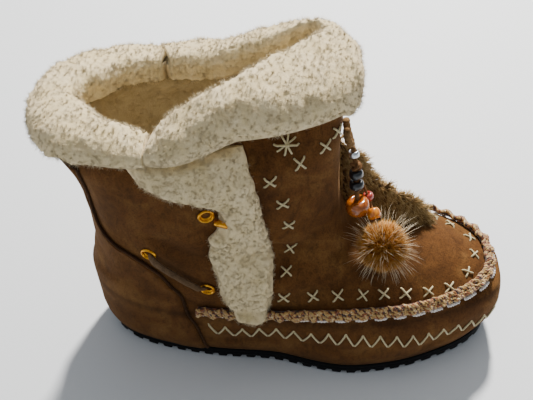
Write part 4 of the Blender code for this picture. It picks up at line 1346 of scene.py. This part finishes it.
NOTCH_TURN = find_on_shell(NOTCH * SHAFT_DEPTH - HEEL_CENTRE, COLLAR_HEIGHT * 0.97)[0]
make_cuff("cuff_back_wool", BACK_CUFF, NOTCH_TURN - NOTCH_GAP, -NOTCH_TURN - FAR_LAP, 220, "cuff_back", 4)
make_cuff("cuff_front_wool", FRONT_CUFF, NOTCH_TURN + NOTCH_GAP, 2.0 * math.pi - NOTCH_TURN + FAR_LAP, 300,
          "cuff_front", 9)

# %% [markdown]
# Two bands of the same wool run down the sides, from under the cuff to the braid. A band is a pad that
# lies on the shell: its outline comes from a table of heights with a left and a right edge, and its
# thickness falls to the rim. Each covers the braid at its foot. The lining inside the shaft is
# wool too, thinner, and coloured darker as painted shade inside the shaft.

# %% Side bands and lining
BAND = [
    # height as a share of the collar's, left edge and right edge as shares of the shaft's depth
    (0.322, 0.640, 0.712),
    (0.334, 0.612, 0.728),
    (0.355, 0.592, 0.740),
    (0.385, 0.555, 0.748),
    (0.490, 0.540, 0.750),
    (0.570, 0.512, 0.742),
    (0.650, 0.515, 0.722),
    (0.690, 0.548, 0.714),
    (0.770, 0.553, 0.699),
    (0.803, 0.490, 0.691),
    (0.835, 0.380, 0.683),
    (0.870, 0.285, 0.670),
    (0.945, 0.225, 0.640),
]
BAND_THICK = 0.0085
BRAID_COVER = 0.0062
BAND_ROWS = 150
BAND_COLUMNS = 40
PAD_BLUR = 12


def pad_rows(places, thick_of, base_of):
    """Closed sections across a pad that lies on the shell: over its top and back along its underside."""
    spots = [[shell_point(turn, row) for turn, row in line] for line in places]
    ways = [[shell_normal(turn, row) for turn, row in line] for line in places]
    rows = []
    for i, line in enumerate(spots):
        near = ways[max(i - PAD_BLUR, 0):i + PAD_BLUR + 1]
        out = [sum(column, Vector()).normalized() for column in zip(*near)]
        over = [spot + out[j] * thick_of(i, j) for j, spot in enumerate(line)]
        under = [spot + out[j] * base_of(i, j) for j, spot in enumerate(line)]
        rows.append(over + list(reversed(under)))
    return rows


def rim_fall(share, width):
    """0 at either end of a pad, 1 inside it, over a share of its width."""
    near = min(share, 1.0 - share) / width
    return math.sin(min(max(near, 0.0), 1.0) * math.pi / 2.0)


def make_band(side, inner_side, seed):
    heights, left, right = zip(*BAND)
    count, across = BAND_ROWS, BAND_COLUMNS
    places = []
    for r in range(count + 1):
        share = mix(heights[0], heights[-1], r / count)
        a, b = curve_at(heights, left, share), curve_at(heights, right, share)
        ragged = 0.010 * noise.noise(Vector((share * 30.0, 5.0, seed)))
        line = []
        for c in range(across + 1):
            x = mix(a + ragged, b - ragged, c / across) * SHAFT_DEPTH - HEEL_CENTRE
            line.append(find_on_shell(x, share * COLLAR_HEIGHT, inner_side))
        places.append(line)

    def on_braid(i):
        share = mix(heights[0], heights[-1], i / count)
        return BRAID_COVER * smooth((0.365 - share) / 0.03)

    def thick_of(i, j):
        fall = rim_fall(j / across, 0.22) * mix(0.2, 1.0, rim_fall(i / count, 0.05))
        return BASE + on_braid(i) + BAND_THICK * mix(0.30, 1.0, fall)

    def base_of(i, j):
        return BASE + on_braid(i)

    def cover_of(i, j):
        return 1.0 if 0 < i < count and j <= across else 0.0

    def hold_of(i, j):
        return 0.75 if j <= across else 0.0

    bm = woolly_grid(pad_rows(places, thick_of, base_of), cover_of, DOWN, hold_of)
    grown("side_band_wool_" + side, bm, WOOL_LOCK, CREAM_SHEARLING, WOOL_DENSITY * 1.3, seed,
          0.40, (0.6, 1.05), ("side_band_" + side,))


make_band("lateral", False, 21)
make_band("medial", True, 22)


LINING_LOW, LINING_HIGH = 0.50, 0.955
LINING_ROWS, LINING_TURNS = 40, 120
LINING_THICK = 0.0055
LINING_DENSITY = 70000.0
SHAFT_MIDDLE = 0.036


def make_lining():
    """A wool tube inside the shaft. Its hidden face lies against the wall and carries no wool."""
    def ring(r, deep):
        row = mix(LINING_LOW, LINING_HIGH, r / LINING_ROWS)
        turns = [2.0 * math.pi * k / LINING_TURNS for k in range(LINING_TURNS)]
        return [on_shell(turn, row, -SHELL - 0.0004 - deep) for turn in turns]

    rows = [ring(r, 0.0) for r in range(LINING_ROWS + 1)]
    for r in range(LINING_ROWS, -1, -1):
        rows.append(ring(r, LINING_THICK * rim_fall(r / LINING_ROWS, 0.1) + 0.0006))
    bm = bmesh.new()
    depth, cover, way, form = hair_layers(bm)
    grid_faces(bm, rows + [rows[0]], True)
    bmesh.ops.remove_doubles(bm, verts=bm.verts, dist=1e-6)
    bmesh.ops.recalc_face_normals(bm, faces=bm.faces)
    bm.normal_update()
    moves = []
    for vert in bm.verts:
        height, deep = wool_height(vert.co)
        inside = (vert.co - Vector((SHAFT_MIDDLE, 0.0, vert.co.z))).dot(vert.normal) < 0
        vert[depth] = deep
        vert[cover] = 1.0 if inside else 0.0
        vert[way] = (vert.normal + Vector((0.0, 0.0, -0.3))).normalized()
        vert[form] = vert.normal
        moves.append((vert, vert.normal * height * (0.8 if inside else 0.0)))
    for vert, move in moves:
        vert.co += move
    # The lining takes the darker wool, whose colour is painted shade.
    grown("shaft_lining_wool", bm, WOOL_LOCK, SHADED_SHEARLING, LINING_DENSITY, 31, 0.5,
          (0.6, 1.0))


make_lining()

# %% [markdown]
# The sole is one thin unit of black rubber, moulded with a lug every ten millimetres, so its edge looks
# scalloped from the side. A moulded sole follows a rule: its outline is the shell's own foot, and its
# tread is a wave along the length, bitten into the edge and drawn across the underside. So it is a grid
# of points whose height comes from that wave. Rubber is nearly black, half matt, with dust in its grain.


# %% Rubber
def moulded_rubber():
    matt = {"Roughness": 0.7, "Specular IOR Level": 0.15}
    material, tree, shader = new_material("black_rubber_moulded", matt)
    grain = object_noise(tree, 0.0011, 3.0, 0.6)
    dust = object_noise(tree, 0.013, 4.0, 0.65)
    tone = ramp(tree, dust, [(0.35, "050506"), (0.62, "0A0A0C"), (0.88, "1A1918")])
    tree.links.new(tone, shader.inputs["Base Color"])
    bumped(tree, shader, grain, 0.0002, 0.5)
    return material


BLACK_RUBBER = moulded_rubber()

# %% The rubber sole
SOLE_LIP = 0.0012
SOLE_INSET = 0.0016
LUG_PITCH = 0.0100
LUG_GAP = 0.0036
LUG_DEPTH = 0.0034
LUG_BITE = 0.0014
GROOVE_SWAY = 0.0016
GROOVE_WAVE = 0.028
TREAD_STEP = 0.0007
TREAD_COLUMNS = 44
SOLE_SIDE = [
    # outward from the shell's foot, height over the tread
    (SOLE_LIP - SOLE_INSET, 0.0), (SOLE_LIP - 0.0005, 0.0004), (SOLE_LIP, 0.0012), (SOLE_LIP, 0.0024),
    (SOLE_LIP, 0.0036), (SOLE_LIP, 0.0054), (SOLE_LIP - 0.0004, 0.0057), (SOLE_LIP - 0.0004, 0.0061),
    (SOLE_LIP, 0.0064), (SOLE_LIP, SOLE_THICK - 0.0007), (SOLE_LIP - 0.0006, SOLE_THICK),
]


def sole_turns(step):
    """Turns from the heel to the toe, about one step of length apart."""
    turns = [0.0]
    while turns[-1] < math.pi:
        speed = LENGTH / 2.0 * math.sin(turns[-1]) + 0.004
        turns.append(turns[-1] + min(step / speed, 0.06))
    turns[-1] = math.pi
    return turns


def sole_spot(turn, outward, height):
    place = shell_point(turn, 0.0)
    normal = shell_normal(turn, 0.0)
    spot = place + Vector((normal.x, normal.y, 0.0)).normalized() * outward
    return Vector((spot.x, spot.y, sole_lift(spot.x) + height))


def groove_at(x, y):
    """0 on a lug, 1 in a groove. The grooves wave a little across the tread."""
    wave = x + GROOVE_SWAY * math.sin(2.0 * math.pi * y / GROOVE_WAVE) + HEEL_CENTRE
    off = abs((wave / LUG_PITCH - 0.4) % 1.0 - 0.5) * LUG_PITCH
    return smooth((LUG_GAP / 2.0 - off) / 0.0012 + 0.5)


def make_sole():
    turns = sole_turns(TREAD_STEP)
    ring = turns + [2.0 * math.pi - t for t in reversed(turns[1:-1])]
    bm = bmesh.new()
    side = []
    for outward, height in SOLE_SIDE:
        line = []
        for turn in ring:
            spot = sole_spot(turn, outward, height)
            bite = groove_at(spot.x, spot.y) * max(0.0, 1.0 - height / LUG_DEPTH)
            line.append(sole_spot(turn, outward - LUG_BITE * bite, height + LUG_DEPTH * bite))
        side.append(line)
    grid_faces(bm, side, True)
    tread = []
    for a, b in zip(side[0][:len(turns)], [side[0][0]] + list(reversed(side[0][len(turns) - 1:]))):
        line = []
        for c in range(TREAD_COLUMNS + 1):
            spot = a.lerp(b, c / TREAD_COLUMNS)
            if 0 < c < TREAD_COLUMNS:
                spot.z = sole_lift(spot.x) + LUG_DEPTH * groove_at(spot.x, spot.y)
            line.append(spot)
        tread.append(line)
    grid_faces(bm, tread, False)
    top = side[-1]
    count = len(ring)
    grid_faces(bm, [(top[k], top[(count - k) % count]) for k in range(len(turns))], False)
    sole = mesh_object("rubber_sole", bm, BLACK_RUBBER, recalc=True)
    bm = bmesh.new()
    bm.from_mesh(sole.data)
    bmesh.ops.dissolve_degenerate(bm, edges=bm.edges, dist=1e-7)
    bm.to_mesh(sole.data)
    bm.free()
    sole.data.set_sharp_from_angle(angle=math.radians(50))
    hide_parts("outsole")
    return sole


SOLE = make_sole()
print("sole:", len(SOLE.data.polygons), "faces")

# %% The wool insole
INSOLE_THICK = 0.0050
INSOLE_CLEAR = 0.0020
INSOLE_COLUMNS = 24
INSOLE_STEP = 0.004
INSOLE_DENSITY = 30000.0


def make_insole():
    inset = -(SHELL + INSOLE_CLEAR)
    across = INSOLE_COLUMNS
    rows = []
    for turn in sole_turns(INSOLE_STEP)[1:-1]:
        line = []
        for height in (SOLE_THICK + GAP + INSOLE_THICK, SOLE_THICK + GAP):
            a, b = sole_spot(turn, inset, height), sole_spot(2.0 * math.pi - turn, inset, height)
            part = [a.lerp(b, c / across) for c in range(across + 1)]
            line += part if height > SOLE_THICK + 2.0 * GAP else list(reversed(part))
        rows.append(line)
    last = len(rows) - 1

    def cover_of(i, j):
        return 1.0 if 0 < i < last and 0 < j < across else 0.0

    bm = woolly_grid(rows, cover_of, Vector((0.0, 0.0, 0.0)))
    grown("insole_wool", bm, WOOL_LOCK, CREAM_SHEARLING, INSOLE_DENSITY, 41, 0.5, (0.6, 0.9),
          ("insole",))


make_insole()

# %% [markdown]
# A back panel of the same suede wraps the heel, sweeps back along the ankle and runs up under the cuff.
# It lies on the shell as a second skin, so it stands a little proud, and a dark piping lies in the step
# along its edge. The panel is a closed pad over a grid of places. Its own folds are the shell's, since
# both move together, and the soil at its foot and the painted shade in its creases come from the same
# function.

# %% Back panel and piping
COUNTER_EDGE = [
    # share of the edge's height, how far forward as a share of the shaft's depth
    (0.000, 0.471), (0.163, 0.441), (0.261, 0.406), (0.365, 0.390), (0.457, 0.332), (0.533, 0.269),
    (0.579, 0.202), (0.613, 0.132), (0.661, 0.083), (0.736, 0.070), (0.862, 0.067), (1.000, 0.060),
]
COUNTER_TOP = 0.860
COUNTER_FOOT = 0.0128
PIPING = 0.0026
PIPING_FOOT = 0.008
PIPING_RADIUS = PIPING * 0.36
PIPING_POINTS = 420
CORD_SIDES = 10
PANEL_LIFT = 0.0004
PANEL_THICK = 0.0018
PANEL_ROWS = 110
PANEL_COLUMNS = 120


def counter_edge(share, inset=0.0):
    """The panel's edge, as x and height, or a line that runs inside it."""
    columns = list(zip(*COUNTER_EDGE))

    def at(s):
        forward = curve_at(*columns, s)
        height = mix(COUNTER_FOOT, COUNTER_TOP * COLLAR_HEIGHT, s)
        return Vector((forward * SHAFT_DEPTH - HEEL_CENTRE, height))

    step = 0.01
    run = (at(min(share + step, 1.0)) - at(max(share - step, 0.0))).normalized()
    spot = at(share) + Vector((-run.y, run.x)) * inset
    return spot.x, spot.y


def suede_pad(places, lift_of):
    """A closed pad of suede over a grid of (turn, row) places. lift_of gives its thickness across."""
    bm = bmesh.new()
    # This layer holds soil at the foot and painted shade in the creases, as on the upper.
    soil_and_shade = bm.verts.layers.float.new("soil_and_shade")
    rows, soils = [], []
    for line in places:
        over, under, soil = [], [], []
        for j, (turn, row) in enumerate(line):
            place = shell_point(turn, row)
            out = shell_normal(turn, row)
            rise = proud(place)
            over.append(place + out * (rise + PANEL_LIFT + lift_of(j)))
            under.append(place + out * (rise + PANEL_LIFT))
            soil.append(soil_and_shade_at(place, row))
        rows.append(over + list(reversed(under)))
        soils.append(soil + list(reversed(soil)))
    grid = grid_faces(bm, rows, True)
    for verts, soil in zip(grid, soils):
        for vert, share in zip(verts, soil):
            vert[soil_and_shade] = share
    close_ends(bm, grid)
    return bm


def make_back_panel():
    inset = PIPING / 2.0
    places = []
    for r in range(-4, PANEL_ROWS + 1):
        share = max(r / PANEL_ROWS, 0.0)
        x, z = counter_edge(share, inset)
        z = min(z, COUNTER_TOP * COLLAR_HEIGHT - inset)
        edge_turn = find_on_shell(x, z)[0]
        line = []
        for c in range(PANEL_COLUMNS + 1):
            turn = edge_turn * (1.0 - 2.0 * c / PANEL_COLUMNS)
            row = row_at(turn, z)
            line.append((turn, mix(row, 0.006, -r / 4) if r < 0 else row))
        places.append(line)

    def lift_of(j):
        return PANEL_THICK * mix(0.5, 1.0, rim_fall(j / PANEL_COLUMNS, 0.012))

    panel = mesh_object("back_panel_suede", suede_pad(places, lift_of), TAN_SUEDE)
    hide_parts("heel_counter")


def make_piping():
    side = [counter_edge(k / 60) for k in range(61)]
    outer = [find_on_shell(x, z) for x, z in side]
    top = outer[-1][0]
    over = [(t, row_at(t, COUNTER_TOP * COLLAR_HEIGHT)) for t in (top * (1.0 - k / 12) for k in range(1, 24))]
    mirrored = [(-turn, row) for turn, row in reversed(outer)]
    path = [(outer[0][0], PIPING_FOOT)] + outer + over + mirrored + [(-outer[0][0], PIPING_FOOT)]
    spots = [on_shell(t, r, 0.0011 + fold_depth(shell_point(t, r))) for t, r in path]
    piping = solid_tube("panel_piping", smooth_route(spots, PIPING_POINTS),
                        round_section(PIPING_RADIUS, CORD_SIDES), DARK_SUEDE)
    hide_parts("counter_piping")


make_back_panel()
make_piping()

# %% [markdown]
# The eyelets are turned brass: a barrel through the suede with a rolled flange on the face. A turned
# shape is a profile spun round its axis. The lace between the two lower eyelets of each side is a flat
# strip of suede, narrow where it dips into the holes. At the top eyelet its metal tip shows beside the
# wool. Lacquered brass is warm and bright, with fine scratches that only its roughness shows.


# %% Brass, eyelets and lace
def lacquered_brass():
    material, tree, shader = new_material("brass_lacquered", {"Metallic": 1.0})
    scratches = object_noise(tree, 0.0006, 2.0, 0.6, 0.0, (1.0, 1.0, 6.0))
    rough = node(tree, "ShaderNodeMapRange", values={3: 0.16, 4: 0.38}, links={0: scratches})
    tone = ramp(tree, object_noise(tree, 0.004, 3.0), [(0.30, "B87418"), (0.55, "E0A030"), (0.80, "F0B848")])
    tree.links.new(tone, shader.inputs["Base Color"])
    tree.links.new(rough.outputs[0], shader.inputs["Roughness"])
    return material


BRASS = lacquered_brass()
EYELETS = {
    # along the shaft's depth, share of the collar's height
    "back": (0.280, 0.555),
    "front": (0.497, 0.412),
    "top": (0.510, 0.745),
}
EYELET_HOLE = 0.0062
EYELET_FLANGE = 0.0100
EYELET_WALL = 0.0006
TURNED_SIDES = 40
SIDES = [("lateral", False), ("medial", True)]


def eyelet_frame(name, inner_side):
    forward, height = EYELETS[name]
    turn, row = find_on_shell(forward * SHAFT_DEPTH - HEEL_CENTRE, height * COLLAR_HEIGHT, inner_side)
    return shell_point(turn, row), shell_normal(turn, row)


def aim(place, normal):
    return Matrix.Translation(place) @ normal.to_track_quat("Z", "Y").to_matrix().to_4x4()


def turned(bm, profile, frame, sides):
    """Spins a closed profile of (radius, height) round the frame's Z axis."""
    rows = []
    for radius, height in profile:
        rows.append([frame @ Vector((x, y, height)) for x, y in round_section(radius, sides)])
    grid_faces(bm, rows + [rows[0]], True)


def make_eyelet(side, name, inner_side):
    place, normal = eyelet_frame(name, inner_side)
    hole, edge = EYELET_HOLE / 2.0, EYELET_FLANGE / 2.0
    base = BASE / 2.0
    top = BASE + EYELET_WALL
    profile = [
        (edge - 0.0001, base), (edge, base + 0.0004), (edge - 0.0003, top), (edge - 0.0009, top + 0.00035),
        (hole + 0.0008, top + 0.00025), (hole + 0.0001, top - 0.0004), (hole - 0.0002, -SHELL),
        (hole - 0.0006, -SHELL), (hole - 0.0005, base), (hole + 0.0003, base),
    ]
    bm = bmesh.new()
    turned(bm, profile, aim(place, normal), TURNED_SIDES)
    made = mesh_object(f"eyelet_brass_{side}_{name}", bm, BRASS, recalc=True)
    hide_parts(f"eyelet_{side}_{name}")


LACE_WIDTH = 0.0058
LACE_THICK = 0.0014
LACE_STAND = 0.0032
LACE_NECK = 0.0036
TIP_RADII = [0.0014, 0.0021, 0.0022, 0.0021, 0.0022, 0.0021, 0.0022, 0.0014]
TIP_LIFT = 0.0040
TIP_START = 0.0048
TIP_STEP = 0.0014


def flat_section(width, thick):
    """A strip's section with rounded edges."""
    w, t = width / 2.0, thick / 2.0
    return [(-w, -t * 0.4), (-w * 0.86, -t), (w * 0.86, -t), (w, -t * 0.4), (w, t * 0.4), (w * 0.86, t),
            (0.0, t * 1.12), (-w * 0.86, t), (-w, t * 0.4)]


def make_lace(side, inner_side):
    (start, start_normal), (end, end_normal) = (eyelet_frame(n, inner_side) for n in ("back", "front"))
    normal = (start_normal + end_normal).normalized()
    stand = EYELET_WALL + LACE_STAND
    stations = [
        # share of the way, lift off the shell, width
        (0.020, -SHELL, LACE_NECK), (0.030, BASE, LACE_NECK), (0.075, 0.0024, 0.0048),
        (0.15, stand, LACE_WIDTH), (0.35, stand * 1.15, LACE_WIDTH), (0.65, stand * 1.15, LACE_WIDTH),
        (0.87, stand, LACE_WIDTH), (0.925, 0.0024, 0.0048), (0.970, BASE, LACE_NECK),
        (0.980, -SHELL, LACE_NECK),
    ]
    spots = [start.lerp(end, share) + normal * lift for share, lift, _ in stations]
    count = 70
    route = smooth_route(spots, count)
    shares, _, widths = zip(*stations)
    along = end - start

    def section(k):
        share = (route[k] - start).dot(along) / along.length_squared
        ripple = 1.0 + 0.05 * math.sin(share * 21.0) + 0.03 * math.sin(share * 47.0)
        return flat_section(curve_at(shares, widths, share) * ripple, LACE_THICK)

    made = solid_tube("lace_strip_" + side, route, section, LACE_SUEDE, [normal] * count)
    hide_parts("lace_bar_" + side)


def make_lace_tip(side, inner_side):
    """The lace's brass end lies beside the top eyelet, half under the wool."""
    place, normal = eyelet_frame("top", inner_side)
    ahead = Vector((0.86, 0.0, -0.50))
    ahead = (ahead - normal * ahead.dot(normal)).normalized()
    route = [place + normal * TIP_LIFT + ahead * (TIP_START + TIP_STEP * k) for k in range(len(TIP_RADII))]
    solid_tube("lace_tip_" + side, route, lambda k: round_section(TIP_RADII[k], 20), BRASS)


for side, inner_side in SIDES:
    for name in EYELETS:
        make_eyelet(side, name, inner_side)
    make_lace(side, inner_side)
    make_lace_tip(side, inner_side)
print("eyelets:", len(EYELETS) * len(SIDES))

# %% [markdown]
# The tassel hangs from a thick loop of suede: two thin leather cords with a knot, a few beads, and a
# ball of fox fur. The main cord is a free cord. The beads are turned like the
# eyelets: two glazed black ones, a silver one, two of amber resin and a red one.
# Resin takes a clear gloss, and its colour runs from honey to brown inside the bead.


# %% Leather, glass and resin
def glossy(name, dark, light, grain, roughness, coat=0.6, metallic=0.0):
    material, tree, shader = new_material(name, {
        "Roughness": roughness, "Metallic": metallic, "Coat Weight": coat, "Coat Roughness": 0.08,
    })
    colour = ramp(tree, object_noise(tree, grain, 3.0, 0.55, 1.5), [(0.32, dark), (0.68, light)])
    tree.links.new(colour, shader.inputs["Base Color"])
    return material


AMBER_RESIN = glossy("amber_resin_polished", "742E04", "C06A14", 0.0045, 0.18)
HONEY_RESIN = glossy("honey_resin_polished", "B05E04", "E08C10", 0.0040, 0.18)
RED_GLASS = glossy("red_glass_pressed", "7A1E16", "B84434", 0.0030, 0.22)
BLACK_GLASS = glossy("black_glass_glazed", "0A0C10", "1A2026", 0.0030, 0.28, 0.4)
SILVER_BEAD = glossy("silver_bead_cast", "B8BCC2", "E8ECF0", 0.0012, 0.25, 0.0, 0.9)
CORD_LEATHER = suede("cord_leather_round", "5A3A20", "7C5836", "A07C54", 0.0007, 0.0001)
LOOP_SUEDE = suede("loop_suede_thick", "4E361E", "6E5030", "8C6C46", 0.0012, 0.0004)

# %% Loop, cords and knot
LOOP_TOP = 0.895
LOOP_THICK = 0.0044
LOOP_ROUTE = [
    # off the middle line, below the loop's top, off the shell
    (0.0045, 0.0000, 0.0030), (0.0045, 0.0070, 0.0045), (0.0000, 0.0140, 0.0070),
    (-0.0045, 0.0070, 0.0045), (-0.0045, 0.0000, 0.0030),
]
CORD = 0.0030
TASSEL_ROUTE = [
    # from the loop down to the ball, in metres from the front of the shaft, the middle line and the floor
    (0.0062, 0.0000, 0.1622), (0.0072, -0.0010, 0.1570), (0.0085, -0.0030, 0.1520),
    (0.0093, -0.0043, 0.1450), (0.0102, -0.0055, 0.1367), (0.0112, -0.0065, 0.1280),
    (0.0122, -0.0075, 0.1197), (0.0135, -0.0087, 0.1120), (0.0174, -0.0121, 0.1077),
]
SIDE_CORD_ROUTE = [
    # in metres in the boot's frame
    (0.1290, -0.0020, 0.1500), (0.1325, -0.0010, 0.1400), (0.1368, 0.0000, 0.1290),
    (0.1402, -0.0010, 0.1205), (0.1436, -0.0090, 0.1145), (0.1460, -0.0170, 0.1085),
]
SIDE_CORD_RADIUS = 0.0008
KNOT_HEIGHT = 0.1505
KNOT_POINTS = 90
KNOT_RADIUS = 0.0010
FRONT = SHAFT_DEPTH - HEEL_CENTRE
CORD_PATH = smooth_route([Vector((FRONT + x, y, z)) for x, y, z in TASSEL_ROUTE], 60)


def make_loop():
    spots = []
    for y, drop, lift in LOOP_ROUTE:
        z = LOOP_TOP * COLLAR_HEIGHT - drop
        spots.append(Vector((shell_point(math.pi, row_at(math.pi, z)).x + lift, y, z)))

    def section(k):
        return round_section(LOOP_THICK / 2.0 * (1.0 + 0.07 * math.sin(k * 0.9)), 18)

    loop = solid_tube("hanger_loop_suede", smooth_route(spots, 70), section, LOOP_SUEDE)
    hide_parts("hanger_loop")


def tassel_place(height):
    """The place and the way of the tassel's cord at this height over the floor."""
    k = min(range(1, len(CORD_PATH) - 1), key=lambda n: abs(CORD_PATH[n].z - height))
    return CORD_PATH[k], (CORD_PATH[k + 1] - CORD_PATH[k - 1]).normalized()


def make_knot():
    """An overhand knot: a trefoil wound round the cord."""
    to_cord = aim(*tassel_place(KNOT_HEIGHT))
    route = []
    for k in range(KNOT_POINTS + 1):
        a = 2.0 * math.pi * k / KNOT_POINTS
        ring = 0.0021 + 0.0008 * math.cos(3.0 * a)
        spot = Vector((ring * math.cos(2.0 * a), ring * math.sin(2.0 * a), 0.0017 * math.sin(3.0 * a)))
        route.append(to_cord @ spot)
    return solid_tube("tassel_knot", route, round_section(KNOT_RADIUS, CORD_SIDES), CORD_LEATHER)


make_loop()
KNOT = make_knot()
SIDE_CORD = solid_tube("tassel_side_cord", smooth_route([Vector(p) for p in SIDE_CORD_ROUTE], 40),
                       round_section(SIDE_CORD_RADIUS, CORD_SIDES), CORD_LEATHER)

# %% Beads
BEADS = [
    # node, name, height over the floor, width, length, material, slot
    ("bead_silver", "silver_bead", 0.1570, 0.0065, 0.0046, SILVER_BEAD, "silver_bead"),
    ("bead_black_upper", "black_bead_upper", 0.1445, 0.0085, 0.0060, BLACK_GLASS, "black_bead"),
    ("bead_black_lower", "black_bead_lower", 0.1365, 0.0090, 0.0062, BLACK_GLASS, "black_bead"),
    ("bead_amber_large", "amber_barrel", 0.1197, 0.0150, 0.0120, AMBER_RESIN, "amber_bead"),
]
LOOSE_BEADS = [
    # name, place, way, width, length, material, slot
    ("red_bead", (0.1400, 0.0000, 0.1210), (0.3, -0.1, -1.0), 0.0068, 0.0058, RED_GLASS, "amber_bead"),
    ("honey_bead", (0.1434, -0.0090, 0.1150), (0.4, -0.9, -0.7), 0.0088, 0.0080, HONEY_RESIN, "amber_bead"),
]
CORD_BORE = CORD / 2.0 + 0.0007
LOOSE_BORE = 0.0010
BEAD_RINGS = 14
BEAD_CURVE = 2.6


def bead(name, place, way, width, length, material, bore):
    """A turned bead: rounded sides between two flat ends, and a bore."""
    half = width / 2.0
    outer = []
    for k in range(BEAD_RINGS + 1):
        share = k / BEAD_RINGS * 2.0 - 1.0
        swell = (1.0 - abs(share) ** BEAD_CURVE) ** 0.5 * 0.999
        outer.append((bore + (half - bore) * swell, share * length / 2.0))
    profile = [(bore, -length / 2.0 * 0.94)] + outer[1:-1] + [(bore, length / 2.0 * 0.94)]
    bm = bmesh.new()
    turned(bm, profile, aim(Vector(place), Vector(way).normalized()), TURNED_SIDES)
    return mesh_object(name, bm, material, recalc=True)


for node_name, name, height, width, length, material, slot in BEADS:
    place, way = tassel_place(height)
    made = bead(name, place, way, width, length, material, CORD_BORE)
    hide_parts(node_name)
for name, place, way, width, length, material, slot in LOOSE_BEADS:
    bead(name, place, way, width, length, material, LOOSE_BORE)
print("beads:", len(BEADS) + len(LOOSE_BEADS))

# %% [markdown]
# Fur is many hairs, each far finer than a pixel, so one thin spike stands for a few dozen of them. The
# strip over the instep is hare: tan locks with dark roots that lie down along it. The ball is fox: a
# dense orange-brown underfur and long pale guard hairs that stick out of it. The same tree that spread
# the wool spreads both. A hair's colour follows the attribute named depth, from root to tip.


# %% Fur materials
def fur(name, stops, streak=0.004):
    material, tree, shader = new_material(name, {
        "Roughness": 0.6, "Specular IOR Level": 0.2, "Sheen Weight": 0.08,
    })
    patches = object_noise(tree, streak, 3.0, 0.65, 1.0)
    colour = ramp(tree, drifting(tree, attribute(tree, "depth"), patches, 0.8, -0.40), stops)
    tree.links.new(colour, shader.inputs["Base Color"])
    tree.links.new(soft_normal(tree, 0.5), shader.inputs["Normal"])
    return material


HARE_FUR = fur("hare_fur", [(0.10, "2E1E0E"), (0.38, "5C4020"), (0.62, "8E6E3C"), (0.88, "BC9E68")])
FOX_FUR = fur("fox_fur", [(0.12, "4E2200"), (0.42, "8A4808"), (0.66, "AC6A18"), (0.90, "C08C40")], 0.006)
GUARD_HAIR = fur("fox_guard_hair", [(0.15, "9A5A20"), (0.45, "C89858"), (0.80, "F0E0C0")], 0.010)
HARE_LOCK = lock_object("hare_lock", 5, 0.0095, 0.0009, 0.22, 7)
FOX_LOCK = lock_object("fox_lock", 5, 0.0100, 0.0007, 0.20, 8)
GUARD_LOCK = lock_object("guard_lock", 1, 0.0215, 0.00036, 0.12, 12, 4)

# %% Instep fur
FUR_STRIP = [
    # along it, turn as a share of pi, level of its lower and its upper edge in rows
    (0.00, 1.050, 0.690, 0.830),
    (0.35, 1.085, 0.560, 0.770),
    (0.70, 1.140, 0.430, 0.660),
    (1.00, 1.200, 0.390, 0.560),
]
FUR_THICK = 0.0110
FUR_ROWS = 90
FUR_COLUMNS = 30
FUR_DENSITY = 480000.0
FUR_LIE = Vector((0.9, 0.9, -1.6))


def make_instep_fur():
    shares, turns, lows, highs = zip(*FUR_STRIP)
    count, across = FUR_ROWS, FUR_COLUMNS
    places = []
    for k in range(count + 1):
        share = k / count
        turn = curve_at(shares, turns, share) * math.pi
        low, high = curve_at(shares, lows, share), curve_at(shares, highs, share)
        places.append([(turn, mix(low, high, c / across)) for c in range(across + 1)])

    def thick_of(i, j):
        fall = rim_fall(j / across, 0.28) * rim_fall(i / count, 0.10)
        swell = 0.6 + 1.3 * math.sin(math.pi * min(i / count * 1.15, 1.0))
        return 1.6 * BASE + FUR_THICK * mix(0.12, swell, fall)

    def cover_of(i, j):
        return 1.0 if 0 < i < count and j <= across else 0.0

    bm = woolly_grid(pad_rows(places, thick_of, lambda i, j: 0.5 * BASE), cover_of, FUR_LIE)
    grown("instep_fur_hair", bm, HARE_LOCK, HARE_FUR, FUR_DENSITY, 51, 0.45, (0.6, 1.15),
          ("instep_fur",))


make_instep_fur()

# %% Fox ball
POMPOM = 0.034
POMPOM_AHEAD = 0.0225
POMPOM_SEAT = 0.0874
UNDERFUR_DENSITY = 1150000.0
GUARD_DENSITY = 620000.0
BALL_TURN, BALL_ROW = find_on_shell(FRONT + POMPOM_AHEAD, POMPOM_SEAT)
BALL_AT = on_shell(BALL_TURN, BALL_ROW, POMPOM * 0.5)
BALL_AWAY = shell_normal(BALL_TURN, BALL_ROW)


def ball_form(radius, comb):
    """A lumpy ball with its hair combed down and away from the shell."""
    bm = bmesh.new()
    depth, cover, way, form = hair_layers(bm)
    bmesh.ops.create_icosphere(bm, subdivisions=4, radius=radius)
    for vert in bm.verts:
        out = vert.co.normalized()
        vert.co = BALL_AT + out * radius * (1.0 + 0.10 * noise.noise(out * 3.0))
        vert[depth] = 0.15
        vert[cover] = smooth((out.dot(BALL_AWAY) + 0.75) / 0.4)
        vert[way] = (out + comb + BALL_AWAY * 0.15).normalized()
        vert[form] = out
    return bm


UNDERFUR = ball_form(POMPOM * 0.27, Vector((-0.12, 0.0, -0.05)))
grown("fox_ball_underfur", UNDERFUR, FOX_LOCK, FOX_FUR, UNDERFUR_DENSITY, 61,
                     0.45, (0.65, 1.1), ("pompom",))
GUARD = ball_form(POMPOM * 0.20, Vector((-0.05, 0.0, -0.10)))
grown("fox_ball_guard_hair", GUARD, GUARD_LOCK, GUARD_HAIR, GUARD_DENSITY, 62,
                     0.40, (0.6, 1.15))

# %% The free cord
TASSEL_CORD = solid_tube("tassel_cord_leather", CORD_PATH, round_section(CORD / 2.0, 14), CORD_LEATHER)
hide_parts("tassel_cord")
